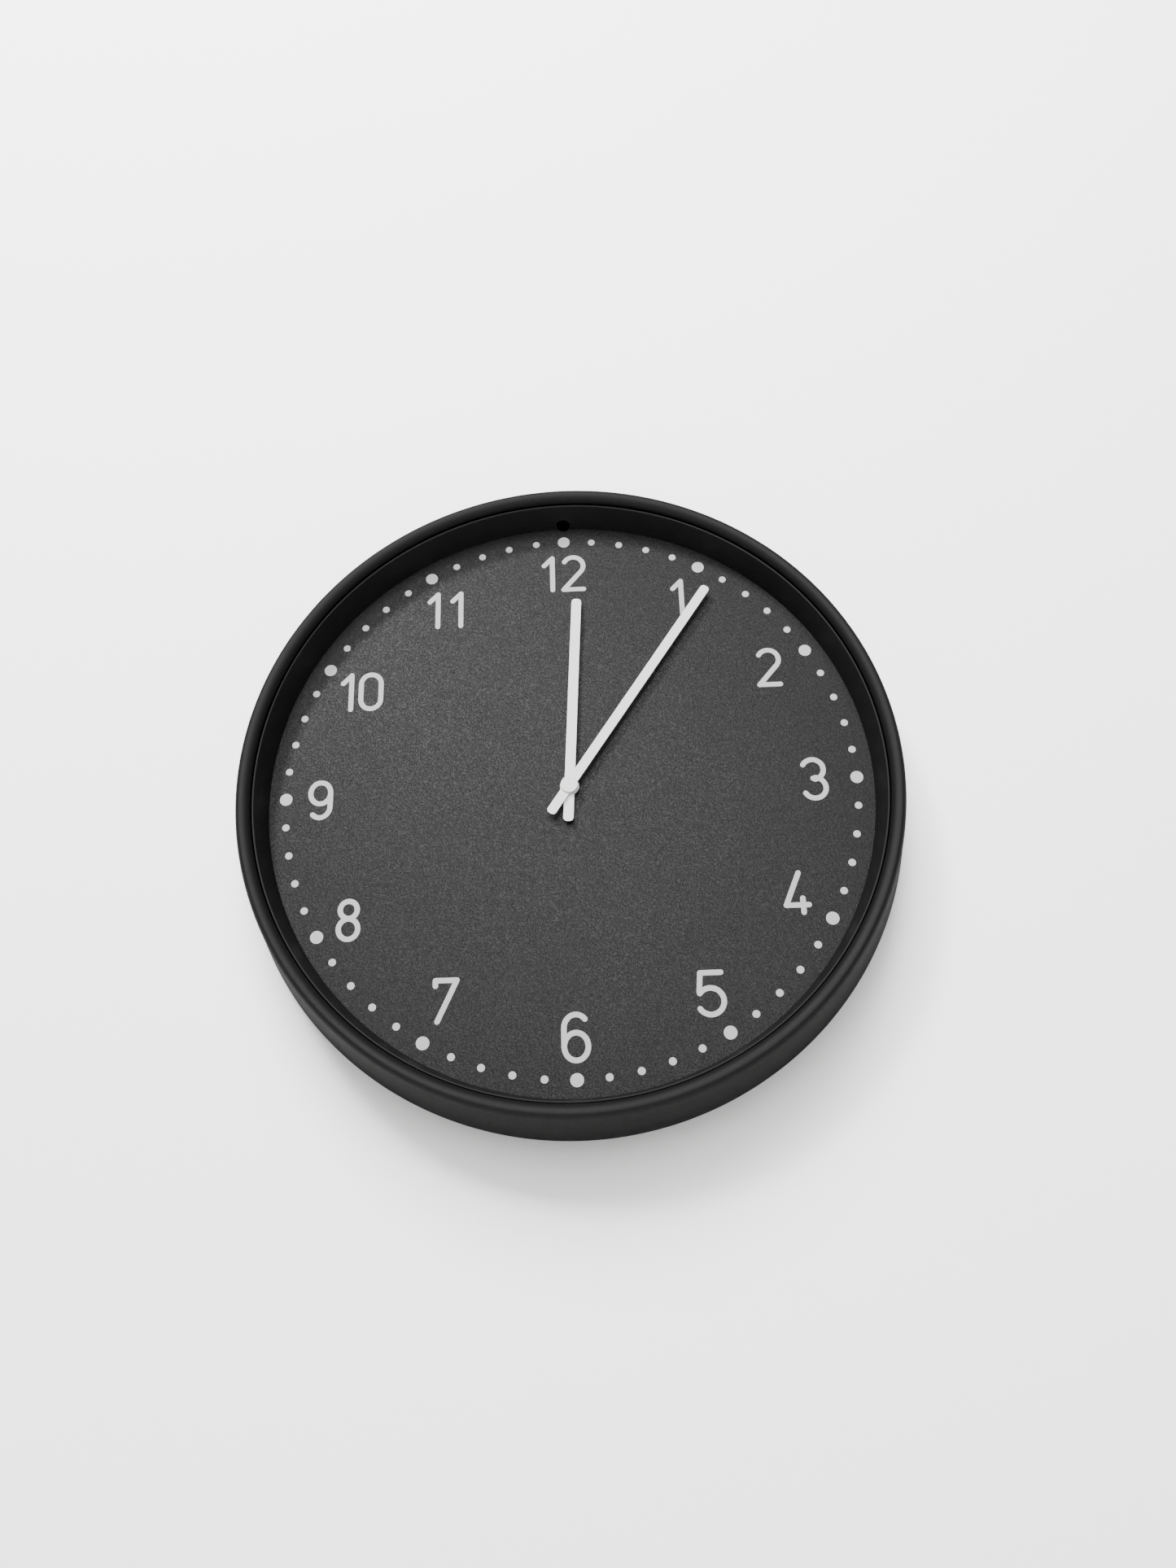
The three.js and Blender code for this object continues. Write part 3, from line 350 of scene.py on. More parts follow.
def rounded_bar(name, low, high, corner, segments):
    """A flat block with round corners, as seen along Y."""
    return bevelled(block(name, low, high), corner, segments, along_y)


def modified(piece, kind, **settings):
    modifier = piece.modifiers.new(kind.title(), kind)
    for key, value in settings.items():
        setattr(modifier, key, value)
    only(piece)
    bpy.ops.object.modifier_apply(modifier=modifier.name)
    return piece


def combined(piece, others, operation="UNION"):
    """Joins the other solids to the piece, or cuts them out of it."""
    for other in others:
        modified(piece, "BOOLEAN", operation=operation, object=other, solver="EXACT")
        bpy.data.objects.remove(other)
    return piece


def softened(piece, radius, limit, segments=2):
    """Rounds the edges that are sharper than the limit, in degrees."""
    return modified(
        piece, "BEVEL", width=radius, segments=segments, limit_method="ANGLE",
        angle_limit=math.radians(limit))


def copied(piece, name, place=(0, 0, 0), turn=0):
    """A copy with its own mesh, turned about the Y axis and then moved."""
    only(piece)
    bpy.ops.object.duplicate()
    copy = named(name)
    copy.matrix_world = Matrix.Translation(place) @ Matrix.Rotation(turn, 4, "Y")
    return settled(copy)


def spread(master, angles):
    """Copies of the master at these clock angles. The master is removed."""
    copies = [copied(master, f"{master.name}_turned", turn=math.radians(degrees)) for degrees in angles]
    bpy.data.objects.remove(master)
    return copies


def joined(name, pieces):
    only(*pieces)
    bpy.ops.object.join()
    return named(name)


def cad_copy(node, name):
    """A merged copy of a CAD node's mesh, with its flat faces whole again."""
    source = frame["nodes"][node]
    piece = bpy.data.objects.new(name, source.data.copy())
    bpy.context.scene.collection.objects.link(piece)
    piece.data.name = name
    piece.data.materials.clear()

    def whole():
        bpy.ops.mesh.remove_doubles(threshold=0.005 * MM)
        bpy.ops.mesh.customdata_custom_splitnormals_clear()
        bpy.ops.mesh.dissolve_limited(angle_limit=math.radians(0.5))
    return edit(piece, whole)


def handed_over(piece, body, material, replaces=(), flat_faces=False):
    """Gives a finished piece its material, its body and the nodes it stands for."""
    settled(piece)
    bpy.ops.object.shade_smooth_by_angle(angle=SMOOTH_ANGLE)
    if flat_faces:
        modified(piece, "WEIGHTED_NORMAL", keep_sharp=True)
    piece.data.materials.clear()
    piece.data.materials.append(material)
    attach(piece, body)
    if replaces:
        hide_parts(*replaces)
    return piece


def around(radius, degrees):
    """(x, z) at a clock angle: 0 is 12 o'clock, and it grows clockwise."""
    turn = math.radians(degrees)
    return radius * math.sin(turn), radius * math.cos(turn)


def middle_of(node):
    """(x, z) of the middle of a CAD node."""
    low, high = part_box(node)
    return (low.x + high.x) / 2, (low.z + high.z) / 2


# ---------------------------------------------------------------- shader groups
def fed(tree, node, inputs):
    """Links the inputs that are sockets, and sets the others."""
    for key, value in inputs.items():
        if isinstance(value, bpy.types.NodeSocket):
            tree.links.new(value, node.inputs[key])
        else:
            node.inputs[key].default_value = value
    return node


def added(tree, kind, inputs, **settings):
    node = tree.nodes.new(kind)
    for key, value in settings.items():
        setattr(node, key, value)
    return fed(tree, node, inputs)


def math_node(tree, operation, first, second, clamp=False):
    inputs = {0: first, 1: second}
    return added(tree, "ShaderNodeMath", inputs, operation=operation, use_clamp=clamp).outputs[0]


def ranged(tree, value, from_low, from_high, to_low, to_high):
    return added(tree, "ShaderNodeMapRange", {
        "Value": value, "From Min": from_low, "From Max": from_high,
        "To Min": to_low, "To Max": to_high}).outputs["Result"]


def new_group(name, inputs, outputs):
    tree = bpy.data.node_groups.new(name, "ShaderNodeTree")
    for label, kind, value in inputs:
        socket = tree.interface.new_socket(label, in_out="INPUT", socket_type=kind)
        if value is not None:
            socket.default_value = value
    for label, kind in outputs:
        tree.interface.new_socket(label, in_out="OUTPUT", socket_type=kind)
    return tree, tree.nodes.new("NodeGroupInput").outputs, tree.nodes.new("NodeGroupOutput").inputs


FLOAT, VECTOR, COLOUR = "NodeSocketFloat", "NodeSocketVector", "NodeSocketColor"


def tone_drift_group():
    """A colour that drifts a little darker and lighter over the surface."""
    tree, given, out = new_group("Tone drift", [
        ("Vector", VECTOR, None), ("Colour", COLOUR, (0.5, 0.5, 0.5, 1)),
        ("Scale", FLOAT, 20), ("Amount", FLOAT, 0.1)], [("Colour", COLOUR)])
    broad = added(tree, "ShaderNodeTexNoise", {
        "Vector": given["Vector"], "Scale": given["Scale"], "Detail": 4, "Roughness": 0.6})
    fine_scale = math_node(tree, "MULTIPLY", given["Scale"], 23)
    fine = added(tree, "ShaderNodeTexNoise", {
        "Vector": given["Vector"], "Scale": fine_scale, "Detail": 2, "Roughness": 0.6})
    both = math_node(tree, "ADD", broad.outputs["Fac"], fine.outputs["Fac"])
    swing = math_node(tree, "MULTIPLY", math_node(tree, "SUBTRACT", both, 1), given["Amount"])
    value = math_node(tree, "ADD", swing, 1)
    tinted = added(tree, "ShaderNodeHueSaturation", {"Color": given["Colour"], "Value": value})
    tree.links.new(tinted.outputs["Color"], out["Colour"])
    return tree


def handling_group():
    """Roughness with faint broad smudges and fine speckle."""
    tree, given, out = new_group("Handling", [
        ("Vector", VECTOR, None), ("Roughness", FLOAT, 0.5),
        ("Scale", FLOAT, 12), ("Amount", FLOAT, 0.1)], [("Roughness", FLOAT)])
    smudge = added(tree, "ShaderNodeTexNoise", {
        "Vector": given["Vector"], "Scale": given["Scale"], "Detail": 5,
        "Roughness": 0.65, "Distortion": 0.6})
    speckle_scale = math_node(tree, "MULTIPLY", given["Scale"], 40)
    speckle = added(tree, "ShaderNodeTexNoise", {
        "Vector": given["Vector"], "Scale": speckle_scale, "Detail": 1})
    both = math_node(tree, "ADD", smudge.outputs["Fac"], speckle.outputs["Fac"])
    swing = math_node(tree, "MULTIPLY", math_node(tree, "SUBTRACT", both, 1), given["Amount"])
    result = math_node(tree, "ADD", swing, given["Roughness"], clamp=True)
    tree.links.new(result, out["Roughness"])
    return tree


def moulded_grain_group():
    """Height of the fine spark texture on moulded plastic, with flow waviness under it."""
    tree, given, out = new_group("Moulded grain", [
        ("Vector", VECTOR, None), ("Scale", FLOAT, 1500), ("Waviness", FLOAT, 0.3)],
        [("Height", FLOAT)])
    spark = added(tree, "ShaderNodeTexNoise", {
        "Vector": given["Vector"], "Scale": given["Scale"], "Detail": 3, "Roughness": 0.7})
    flow_scale = math_node(tree, "MULTIPLY", given["Scale"], 0.02)
    flow = added(tree, "ShaderNodeTexNoise", {"Vector": given["Vector"], "Scale": flow_scale, "Detail": 1})
    waves = math_node(tree, "MULTIPLY", flow.outputs["Fac"], given["Waviness"])
    tree.links.new(math_node(tree, "ADD", spark.outputs["Fac"], waves), out["Height"])
    return tree


def worm_grain_group():
    """Height of an embossed leather-like grain: short winding ridges between small pits."""
    tree, given, out = new_group("Worm grain", [
        ("Vector", VECTOR, None), ("Scale", FLOAT, 900)], [("Height", FLOAT), ("Ridge", FLOAT)])
    bend_scale = math_node(tree, "MULTIPLY", given["Scale"], 0.8)
    bend = added(tree, "ShaderNodeTexNoise", {"Vector": given["Vector"], "Scale": bend_scale, "Detail": 1})
    push = added(tree, "ShaderNodeVectorMath", {0: bend.outputs["Color"], 1: (0.5, 0.5, 0.5)},
                 operation="SUBTRACT")
    reach = math_node(tree, "DIVIDE", 1.6, given["Scale"])
    shove = added(tree, "ShaderNodeVectorMath", {0: push.outputs[0], "Scale": reach}, operation="SCALE")
    place = added(tree, "ShaderNodeVectorMath", {0: given["Vector"], 1: shove.outputs[0]}, operation="ADD")
    winding = added(tree, "ShaderNodeTexNoise", {
        "Vector": place.outputs[0], "Scale": given["Scale"], "Detail": 1.5, "Roughness": 0.45})
    off_middle = math_node(tree, "ABSOLUTE", math_node(tree, "SUBTRACT", winding.outputs["Fac"], 0.5), 0)
    ridge = ranged(tree, off_middle, 0.0, 0.075, 1, 0)
    pits = added(tree, "ShaderNodeTexVoronoi", {
        "Vector": place.outputs[0], "Scale": given["Scale"]}, feature="SMOOTH_F1")
    height = math_node(tree, "ADD", ridge, math_node(tree, "MULTIPLY", pits.outputs["Distance"], -0.6))
    tree.links.new(height, out["Height"])
    tree.links.new(ridge, out["Ridge"])
    return tree


def drawn_lines_group():
    """Height of fine parallel lines left by rolling or drawing metal."""
    tree, given, out = new_group("Drawn lines", [
        ("Vector", VECTOR, None), ("Stretch", VECTOR, (1, 1, 30)), ("Scale", FLOAT, 300)],
        [("Height", FLOAT)])
    stretched = added(tree, "ShaderNodeVectorMath", {0: given["Vector"], 1: given["Stretch"]},
                      operation="MULTIPLY")
    lines = added(tree, "ShaderNodeTexNoise", {
        "Vector": stretched.outputs[0], "Scale": given["Scale"], "Detail": 4, "Roughness": 0.7})
    tree.links.new(lines.outputs["Fac"], out["Height"])
    return tree


SHADER_GROUPS = {
    "tone": tone_drift_group,
    "handling": handling_group,
    "grain": moulded_grain_group,
    "worm": worm_grain_group,
    "lines": drawn_lines_group,
}
made_groups = {}


def placed(tree, group, inputs):
    """Puts a shared group into a material, with its own values."""
    if group not in made_groups:
        made_groups[group] = SHADER_GROUPS[group]()
    node = tree.nodes.new("ShaderNodeGroup")
    node.node_tree = made_groups[group]
    return fed(tree, node, inputs).outputs


# ---------------------------------------------------------------- materials
def bare_material(name, plain):
    """A material with its shader, object coordinates, and plain values set on the shader."""
    material = bpy.data.materials.new(name)
    material.use_nodes = True
    tree = material.node_tree
    shader = tree.nodes["Principled BSDF"]
    for key, value in plain.items():
        shader.inputs[key].default_value = value
    coordinates = tree.nodes.new("ShaderNodeTexCoord").outputs["Object"]
    return material, tree, shader, coordinates


def painted(tree, shader, coordinates, tint, drift, drift_scale, roughness, smudge, smudge_scale):
    """Links the drifting colour and the handled roughness."""
    tone = placed(tree, "tone", {
        "Vector": coordinates, "Colour": (*tint, 1), "Scale": drift_scale, "Amount": drift})
    tree.links.new(tone["Colour"], shader.inputs["Base Color"])
    rough = placed(tree, "handling", {
        "Vector": coordinates, "Roughness": roughness, "Scale": smudge_scale, "Amount": smudge})
    tree.links.new(rough["Roughness"], shader.inputs["Roughness"])


def raised(tree, shader, height, distance):
    bump = added(tree, "ShaderNodeBump", {"Height": height, "Distance": distance, "Strength": 1.0})
    tree.links.new(bump.outputs["Normal"], shader.inputs["Normal"])


def moulded_plastic(name, tint, roughness, grain_scale=1500, depth=0.01, drift=0.10, smudge=0.10,
                    specular=0.5):
    material, tree, shader, coordinates = bare_material(name, {"Specular IOR Level": specular})
    painted(tree, shader, coordinates, tint, drift, 18, roughness, smudge, 14)
    grain = placed(tree, "grain", {"Vector": coordinates, "Scale": grain_scale, "Waviness": 0.4})
    raised(tree, shader, grain["Height"], depth * MM)
    return material


def sheet_metal(name, tint, roughness, stretch=(1, 1, 30), depth=0.004, smudge=0.12):
    material, tree, shader, coordinates = bare_material(name, {"Metallic": 1.0})
    painted(tree, shader, coordinates, tint, 0.12, 60, roughness, smudge, 40)
    lines = placed(tree, "lines", {"Vector": coordinates, "Stretch": stretch, "Scale": 400})
    raised(tree, shader, lines["Height"], depth * MM)
    return material


def case_black_material():
    tint = bpy.context.scene.clock_colours.case_black
    return moulded_plastic("Case black", tint, 0.58, 1700, 0.012, 0.12, 0.09, specular=0.18)


def ring_black_material():
    """The case's black, painted a little lighter so that the ring wall, which stands in shade, reads as lit:
    painted light.
    """
    # Painted light: a lighter copy of the case's black for the shaded ring wall.
    tint = [1.3 * share for share in bpy.context.scene.clock_colours.case_black]
    return moulded_plastic("Ring black", tint, 0.6, 1700, 0.008, 0.12, 0.10, specular=0.2)


def dial_grain_material():
    """Matt charcoal with an embossed grain of about a millimetre, its ridges painted lighter and its pits
    darker: painted highlight and painted shade of the grain.
    """
    tint = bpy.context.scene.clock_colours.dial_grey
    material, tree, shader, coordinates = bare_material("Dial grain", {"Specular IOR Level": 0.22})
    painted(tree, shader, coordinates, tint, 0.12, 30, 0.44, 0.10, 9)
    worm = placed(tree, "worm", {"Vector": coordinates, "Scale": 760})
    tone = shader.inputs["Base Color"].links[0].from_socket
    # Painted highlight and shade: the ridges of the grain are painted lighter and its pits darker.
    shade = ranged(tree, worm["Ridge"], 0, 1, 0.72, 1.65)
    painted_grain_shade = added(tree, "ShaderNodeHueSaturation", {"Color": tone, "Value": shade})
    tree.links.new(painted_grain_shade.outputs["Color"], shader.inputs["Base Color"])
    raised(tree, shader, worm["Height"], 0.09 * MM)
    return material


def print_material():
    """Screen-printed ink that follows the grain of the dial."""
    tint = bpy.context.scene.clock_colours.print_grey
    material, tree, shader, coordinates = bare_material("Print ink", {"Specular IOR Level": 0.35})
    painted(tree, shader, coordinates, tint, 0.10, 60, 0.62, 0.12, 20)
    worm = placed(tree, "worm", {"Vector": coordinates, "Scale": 620})
    raised(tree, shader, worm["Height"], 0.03 * MM)
    return material


def hand_white_material():
    """Smooth lacquer on pressed sheet."""
    tint = bpy.context.scene.clock_colours.hand_white
    return moulded_plastic("Hand white", tint, 0.40, 900, 0.003, 0.04, 0.10, specular=0.45)


# ---------------------------------------------------------------- frame and ring
def case_radii():
    """Radii of the back edge, the crease, the crest and the inner edge of the lip."""
    sizes = bpy.context.scene.clock_case
    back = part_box("outer_frame")[1].x
    crease = back - sizes.flare
    crest = crease - sizes.lip_outer_run
    return back, crease, crest, crest - sizes.lip_inner_run


def screw_ring():
    """Radius at which the frame screws stand. The first of them is at 3 o'clock."""
    return middle_of("frame_screw_1")[0]


def screw_rods(radius, front, back):
    """A rod at each frame screw, as a boss or to cut a hole."""
    return [rod("screw_rod", radius, front, back, around(screw_ring(), degrees))
            for degrees in FRAME_SCREW_ANGLES]


class CLOCK_OT_outer_frame(bpy.types.Operator):
    """Deep frame: a side that flares to the wall and a rounded lip, with bosses behind it"""
    bl_idname = "clock.outer_frame"
    bl_label = "Outer frame"

    def execute(self, context):
        sizes = context.scene.clock_case
        wall = sizes.frame_wall
        back, crease, crest, inner = case_radii()
        low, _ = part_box("outer_frame")
        lip = (crest, low.y + sizes.lip_inner_drop)
        bend = (crest, low.y + sizes.lip_height)
        inner_run = (sizes.lip_inner_run - wall, sizes.lip_inner_drop - wall)
        outer_run = (sizes.lip_outer_run - wall, sizes.lip_height - wall)
        rounding = sizes.edge_rounding
        outline = [
            *curved((inner + rounding, lip[1]), (rounding, rounding), 90, 180, 3),
            *curved(lip, (sizes.lip_inner_run, sizes.lip_inner_drop), 184, 270, 14),
            *curved(bend, (sizes.lip_outer_run, sizes.lip_height), 270, 360, 12)[1:],
            *curved((back - rounding, -rounding), (rounding, rounding), 0, 90, 4),
            *curved((back - wall + rounding, -rounding), (rounding, rounding), 90, 180, 3),
            *curved(bend, outer_run, 360, 270, 5),
            *curved(lip, inner_run, 270, 180, 6)[1:],
        ]
        piece = turned("outer_frame_body", outline, RIM_SIDES)
        boss_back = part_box("inner_ring")[1].y - EAR_THICKNESS - SEAT_GAP
        hole_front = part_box("frame_screw_1")[0].y - 0.5 * MM
        combined(piece, screw_rods(sizes.boss_radius, low.y + wall, boss_back))
        combined(piece, screw_rods(SCREW_HOLE, hole_front, boss_back + OVERRUN), "DIFFERENCE")
        handed_over(piece, "case", case_black_material(), ["outer_frame"])
        return {"FINISHED"}


def sight_hole_cutter(sizes, dial_front, foot_radius, grow=0.0, depth=8 * MM):
    """The round-ended hole at 12 o'clock, as a solid that runs outward along Z."""
    half = sizes.hole_width / 2 + grow
    back = dial_front + sizes.hole_sink + grow
    front = dial_front + sizes.hole_sink - sizes.hole_height - grow
    start = foot_radius - sizes.hole_notch
    cutter = block("hole", (-half, front, start), (half, back, start + depth))

    def along_z(first, second):
        return abs(first.z - second.z) > 1 * MM
    nearly_half = half * 0.999
    return bevelled(cutter, nearly_half, 10, along_z)


def ears(start, front, back, width):
    """Tabs at the rim, one for each frame screw."""
    end = screw_ring() + width / 2
    corner = width * 0.42
    tab = rounded_bar("ear", (-width / 2, front, start), (width / 2, back, end), corner, 6)
    return spread(tab, FRAME_SCREW_ANGLES)


class CLOCK_OT_inner_ring(bpy.types.Operator):
    """Drafted wall round the dial, with ears for the frame screws and the hole at 12 o'clock"""
    bl_idname = "clock.inner_ring"
    bl_label = "Inner ring"

    def execute(self, context):
        sizes = context.scene.clock_case
        low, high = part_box("inner_ring")
        _, _, _, lip_inner = case_radii()
        edge_outer = lip_inner - sizes.ring_gap
        edge_inner = edge_outer - sizes.ring_edge
        foot = edge_inner - sizes.ring_draft
        outline = filleted([
            (foot, high.y, 0.1 * MM),
            (edge_inner, low.y, 0.8 * MM),
            (edge_outer, low.y, 0.1 * MM),
            (foot + sizes.ring_wall, high.y, 0),
        ], 4)
        piece = turned("inner_ring_body", outline, RIM_SIDES)
        combined(piece, ears(foot + sizes.ring_wall / 2, high.y - EAR_THICKNESS, high.y, sizes.ear_width))
        dial_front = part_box("dial_plate")[0].y
        rim = sight_hole_cutter(sizes, dial_front, foot, HOLE_RIM, HOLE_RIM_DEPTH)
        combined(rim, [ring_envelope(foot, edge_inner, low.y, high.y)], "INTERSECT")
        combined(piece, [rim])
        combined(piece, [sight_hole_cutter(sizes, dial_front, foot)], "DIFFERENCE")
        holes = screw_rods(SCREW_HOLE, high.y - 2 * EAR_THICKNESS, high.y + OVERRUN)
        combined(piece, holes, "DIFFERENCE")
        handed_over(piece, "case", ring_black_material(), ["inner_ring"])
        return {"FINISHED"}


def ring_envelope(foot, edge, front, back):
    """A thin drafted shell over the ring's visible face, which trims the raised rim of the hole."""
    return turned("envelope", [
        (foot - HOLE_RIM_PROUD, back),
        (edge - HOLE_RIM_PROUD, front),
        (edge - HOLE_RIM_PROUD + HOLE_RIM_WALL, front),
        (foot - HOLE_RIM_PROUD + HOLE_RIM_WALL, back),
    ], RIM_SIDES)


# ---------------------------------------------------------------- dial
class CLOCK_OT_dial_plate(bpy.types.Operator):
    """Grained plate with ribs, bosses, hanger posts and ears behind it"""
    bl_idname = "clock.dial_plate"
    bl_label = "Dial plate"

    def execute(self, context):
        case, sizes = context.scene.clock_case, context.scene.clock_dial
        low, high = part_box("dial_plate")
        front, edge = low.y, high.z
        bushing_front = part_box("movement_housing")[0].y
        back = bushing_front + BUSHING_TO_DIAL_BACK
        rib, tall = sizes.rib_width, sizes.rib_height
        outline = [
            (CENTRE_HOLE, front),
            (edge - DIAL_CHAMFER, front),
            (edge, front + DIAL_CHAMFER),
            (edge, back),
        ]
        for radius in RIB_RINGS:
            outline += [
                (radius + rib / 2 + RIB_DRAFT, back),
                (radius + rib / 2, back + tall),
                (radius - rib / 2, back + tall),
                (radius - rib / 2 - RIB_DRAFT, back),
            ]
        outline.append((CENTRE_HOLE, back))
        piece = turned("dial_plate_body", outline, RIM_SIDES)
        spoke_back = back + tall * 0.8
        spoke = block("rib", (-rib / 2, back - ROOT, RIB_RINGS[2]), (rib / 2, spoke_back, RIB_RINGS[0]))
        combined(piece, spread(spoke, range(15, 360, 30)))
        foot = edge - case.ring_wall
        combined(piece, ears(foot, front, back, case.ear_width))
        ear_front = bushing_front + BUSHING_LENGTH + HOUSING_EAR_SINK + HOUSING_WALL - SEAT_GAP
        holes = []
        for kind, count, radius, end, tip_room in (
            ("movement", 4, case.boss_radius, ear_front, 0.2 * MM),
            ("hanger", 2, HANGER_POST, high.y, 0.6 * MM),
        ):
            for index in range(1, count + 1):
                node = f"{kind}_screw_{index}"
                hole_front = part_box(node)[0].y - tip_room
                combined(piece, [rod("boss", radius, back - ROOT, end, middle_of(node))])
                holes.append(rod("hole", SCREW_HOLE, hole_front, end + OVERRUN, middle_of(node)))
        holes += screw_rods(SCREW_HOLE, front - OVERRUN, back + OVERRUN)
        notch_middle = (0, foot - case.hole_notch + case.notch_radius)
        holes.append(rod("notch", case.notch_radius, front - OVERRUN, back + OVERRUN, notch_middle))
        combined(piece, holes, "DIFFERENCE")
        handed_over(piece, "case", dial_grain_material(), ["dial_plate"])
        return {"FINISHED"}


# ---------------------------------------------------------------- print
def stroke(points, pen, front, back):
    """A flat round-ended stroke along (x, z) points. It is a ring if the ends meet."""
    places = [Vector(point) for point in points]
    ring = (places[0] - places[-1]).length < 1e-7
    if ring:
        places.pop()
    count = len(places)
    left, right = [], []
    for index, place in enumerate(places):
        before = places[index - 1] if ring or index else places[0]
        after = places[(index + 1) % count] if ring or index < count - 1 else places[-1]
        direction = (after - before).normalized()
        side = Vector((-direction.y, direction.x)) * pen / 2
        left.append(place + side)
        right.append(place - side)
    only()
    bpy.ops.mesh.primitive_plane_add(size=1)
    piece = named("stroke")
    shape = bmesh.new()
    lay = [[shape.verts.new((spot.x, back, spot.y)) for spot in row] for row in (left, right)]
    for index in range(count if ring else count - 1):
        follow = (index + 1) % count
        shape.faces.new((lay[0][index], lay[0][follow], lay[1][follow], lay[1][index]))
    if not ring:
        for end, neighbour, sign in ((0, 1, 1), (count - 1, count - 2, -1)):
            spoke = left[end] - places[end]
            cap = [lay[0][end]]
            for step in range(1, 10):
                spot = places[end] + Matrix.Rotation(sign * math.pi * step / 10, 2) @ spoke
                cap.append(shape.verts.new((spot.x, back, spot.y)))
            shape.faces.new([*cap, lay[1][end]])
    shape.to_mesh(piece.data)
    shape.free()

    def thicken():
        bpy.ops.mesh.extrude_region_move(TRANSFORM_OT_translate={"value": (0, front - back, 0)})
        bpy.ops.mesh.select_all(action="SELECT")
        bpy.ops.mesh.normals_make_consistent(inside=False)
    return edit(piece, thicken)


def arc(across, up, width, height, start, end):
    """Points in millimetres on an elliptic arc, with degrees from +X toward +Z."""
    steps = max(3, round(abs(end - start) / 12))
    points = []
    for step in range(steps + 1):
        turn = math.radians(start + (end - start) * step / steps)
        points.append((across + width * math.cos(turn), up + height * math.sin(turn)))
    if abs(end - start) == 360:
        points[-1] = points[0]
    return points


def digit_strokes():
    """Centre-lines of the digits in millimetres, from the middle of each digit."""
    oval = arc(0, 5, 5.85, 6, 0, 180) + arc(0, -5, 5.85, 6, 180, 360)
    return {
        "0": [oval + oval[:1]],
        "1": [[(0, 11), (0, -11)], [(0, 11), (-5, 5.9)]],
        "2": [arc(0, 5, 6.05, 6.1, 150, -38) + [(-6, -11.1)], [(-6, -11.1), (6, -11.1)]],
        "3": [arc(-0.4, 5.6, 6, 6, 150, -82), arc(0, -5.4, 6.2, 6.2, 82, -151), [(-0.6, 0.3), (1, 0.3)]],
        "4": [[(1.7, 11.1), (-6.2, -6.9)], [(-6.2, -6.9), (6.1, -6.9)], [(3, -3.2), (3, -11.1)]],
        "5": [[(5.9, 11), (-5.1, 11)], [(-5.1, 11), (-6, 0.8)], arc(-0.2, -4.2, 7, 7.05, 143, -147)],
        "6": [arc(0, -4.7, 6.3, 7.2, 0, 360), [(-6.3, -4.7)] + arc(0, 5, 6.3, 7, 180, 40)],
        "7": [[(-5.7, 8), (-5.7, 10.9)], [(-5.7, 10.9), (5.8, 10.9)], [(5.8, 10.9), (-4.5, -11)]],
        "8": [arc(0, 5.8, 4.7, 4.8, 0, 360), arc(0, -5, 5.35, 5.7, 0, 360)],
        "9": [arc(-0.3, 4.1, 5.7, 6.4, 0, 360), [(5.4, 4.1)] + arc(-0.3, -4.2, 5.7, 6.4, 0, -135)],
    }


# Millimetres from the even ring, and from the middle of a numeral to its digits.
NUMERAL_NUDGES = {
    1: (-2, -1), 2: (-3, 1), 3: (-2, 0), 4: (1, 4), 5: (2, 2), 7: (1, 3),
    8: (-2, -2), 9: (-2, -1), 10: (0, -4), 11: (0, -3),
}
DIGIT_SPREADS = {1: (2.0,), 10: (-6.1, 5.5), 11: (-6.9, 6.9), 12: (-7.3, 5.3)}


def print_depths():
    """Front and back of the print, which starts a little inside the dial."""
    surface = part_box("dial_plate")[0].y
    return surface - bpy.context.scene.clock_dial.print_height, surface + PRINT_ROOT


class CLOCK_OT_numerals(bpy.types.Operator):
    """Round-ended numerals, printed upright on the dial"""
    bl_idname = "clock.numerals"
    bl_label = "Numerals"

    def execute(self, context):
        sizes = context.scene.clock_dial
        front, back = print_depths()
        digits = {}
        for digit, lines in digit_strokes().items():
            strokes = []
            for line in lines:
                scaled = [(across * MM, up * MM) for across, up in line]
                strokes.append(stroke(scaled, sizes.pen, front, back))
            digits[digit] = combined(strokes[0], strokes[1:])
        ink = print_material()
        for hour in range(1, 13):
            middle = around(sizes.numeral_ring, 30 * hour)
            nudge = NUMERAL_NUDGES.get(hour, (0, 0))
            copies = []
            for digit, offset in zip(str(hour), DIGIT_SPREADS.get(hour, (0,))):
                place = (middle[0] + (offset + nudge[0]) * MM, 0, middle[1] + nudge[1] * MM)
                copies.append(copied(digits[digit], f"digit_{hour}", place))
            handed_over(joined(f"numeral_{hour}", copies), "case", ink)
        for digit in digits.values():
            bpy.data.objects.remove(digit)
        return {"FINISHED"}


class CLOCK_OT_dots(bpy.types.Operator):
    """Sixty printed dots, with larger ones at the hours"""
    bl_idname = "clock.dots"
    bl_label = "Dots"

    def execute(self, context):
        sizes = context.scene.clock_dial
        front, back = print_depths()
        ink = print_material()
        hours = range(0, 60, 5)
        between = [minute for minute in range(60) if minute % 5]
        for name, width, sides, minutes in (
            ("hour_dots", sizes.hour_dot, 48, hours),
            ("minute_dots", sizes.minute_dot, 36, between),
        ):
            first = rod("dot", width / 2, front, back, sides=sides)
            softened(first, 0.03 * MM, 60, 1)
            copies = []
            for minute in minutes:
                across, up = around(sizes.dot_ring, 6 * minute)
                copies.append(copied(first, f"dot_{minute}", (across, 0, up)))
            bpy.data.objects.remove(first)
            handed_over(joined(name, copies), "case", ink)
        return {"FINISHED"}


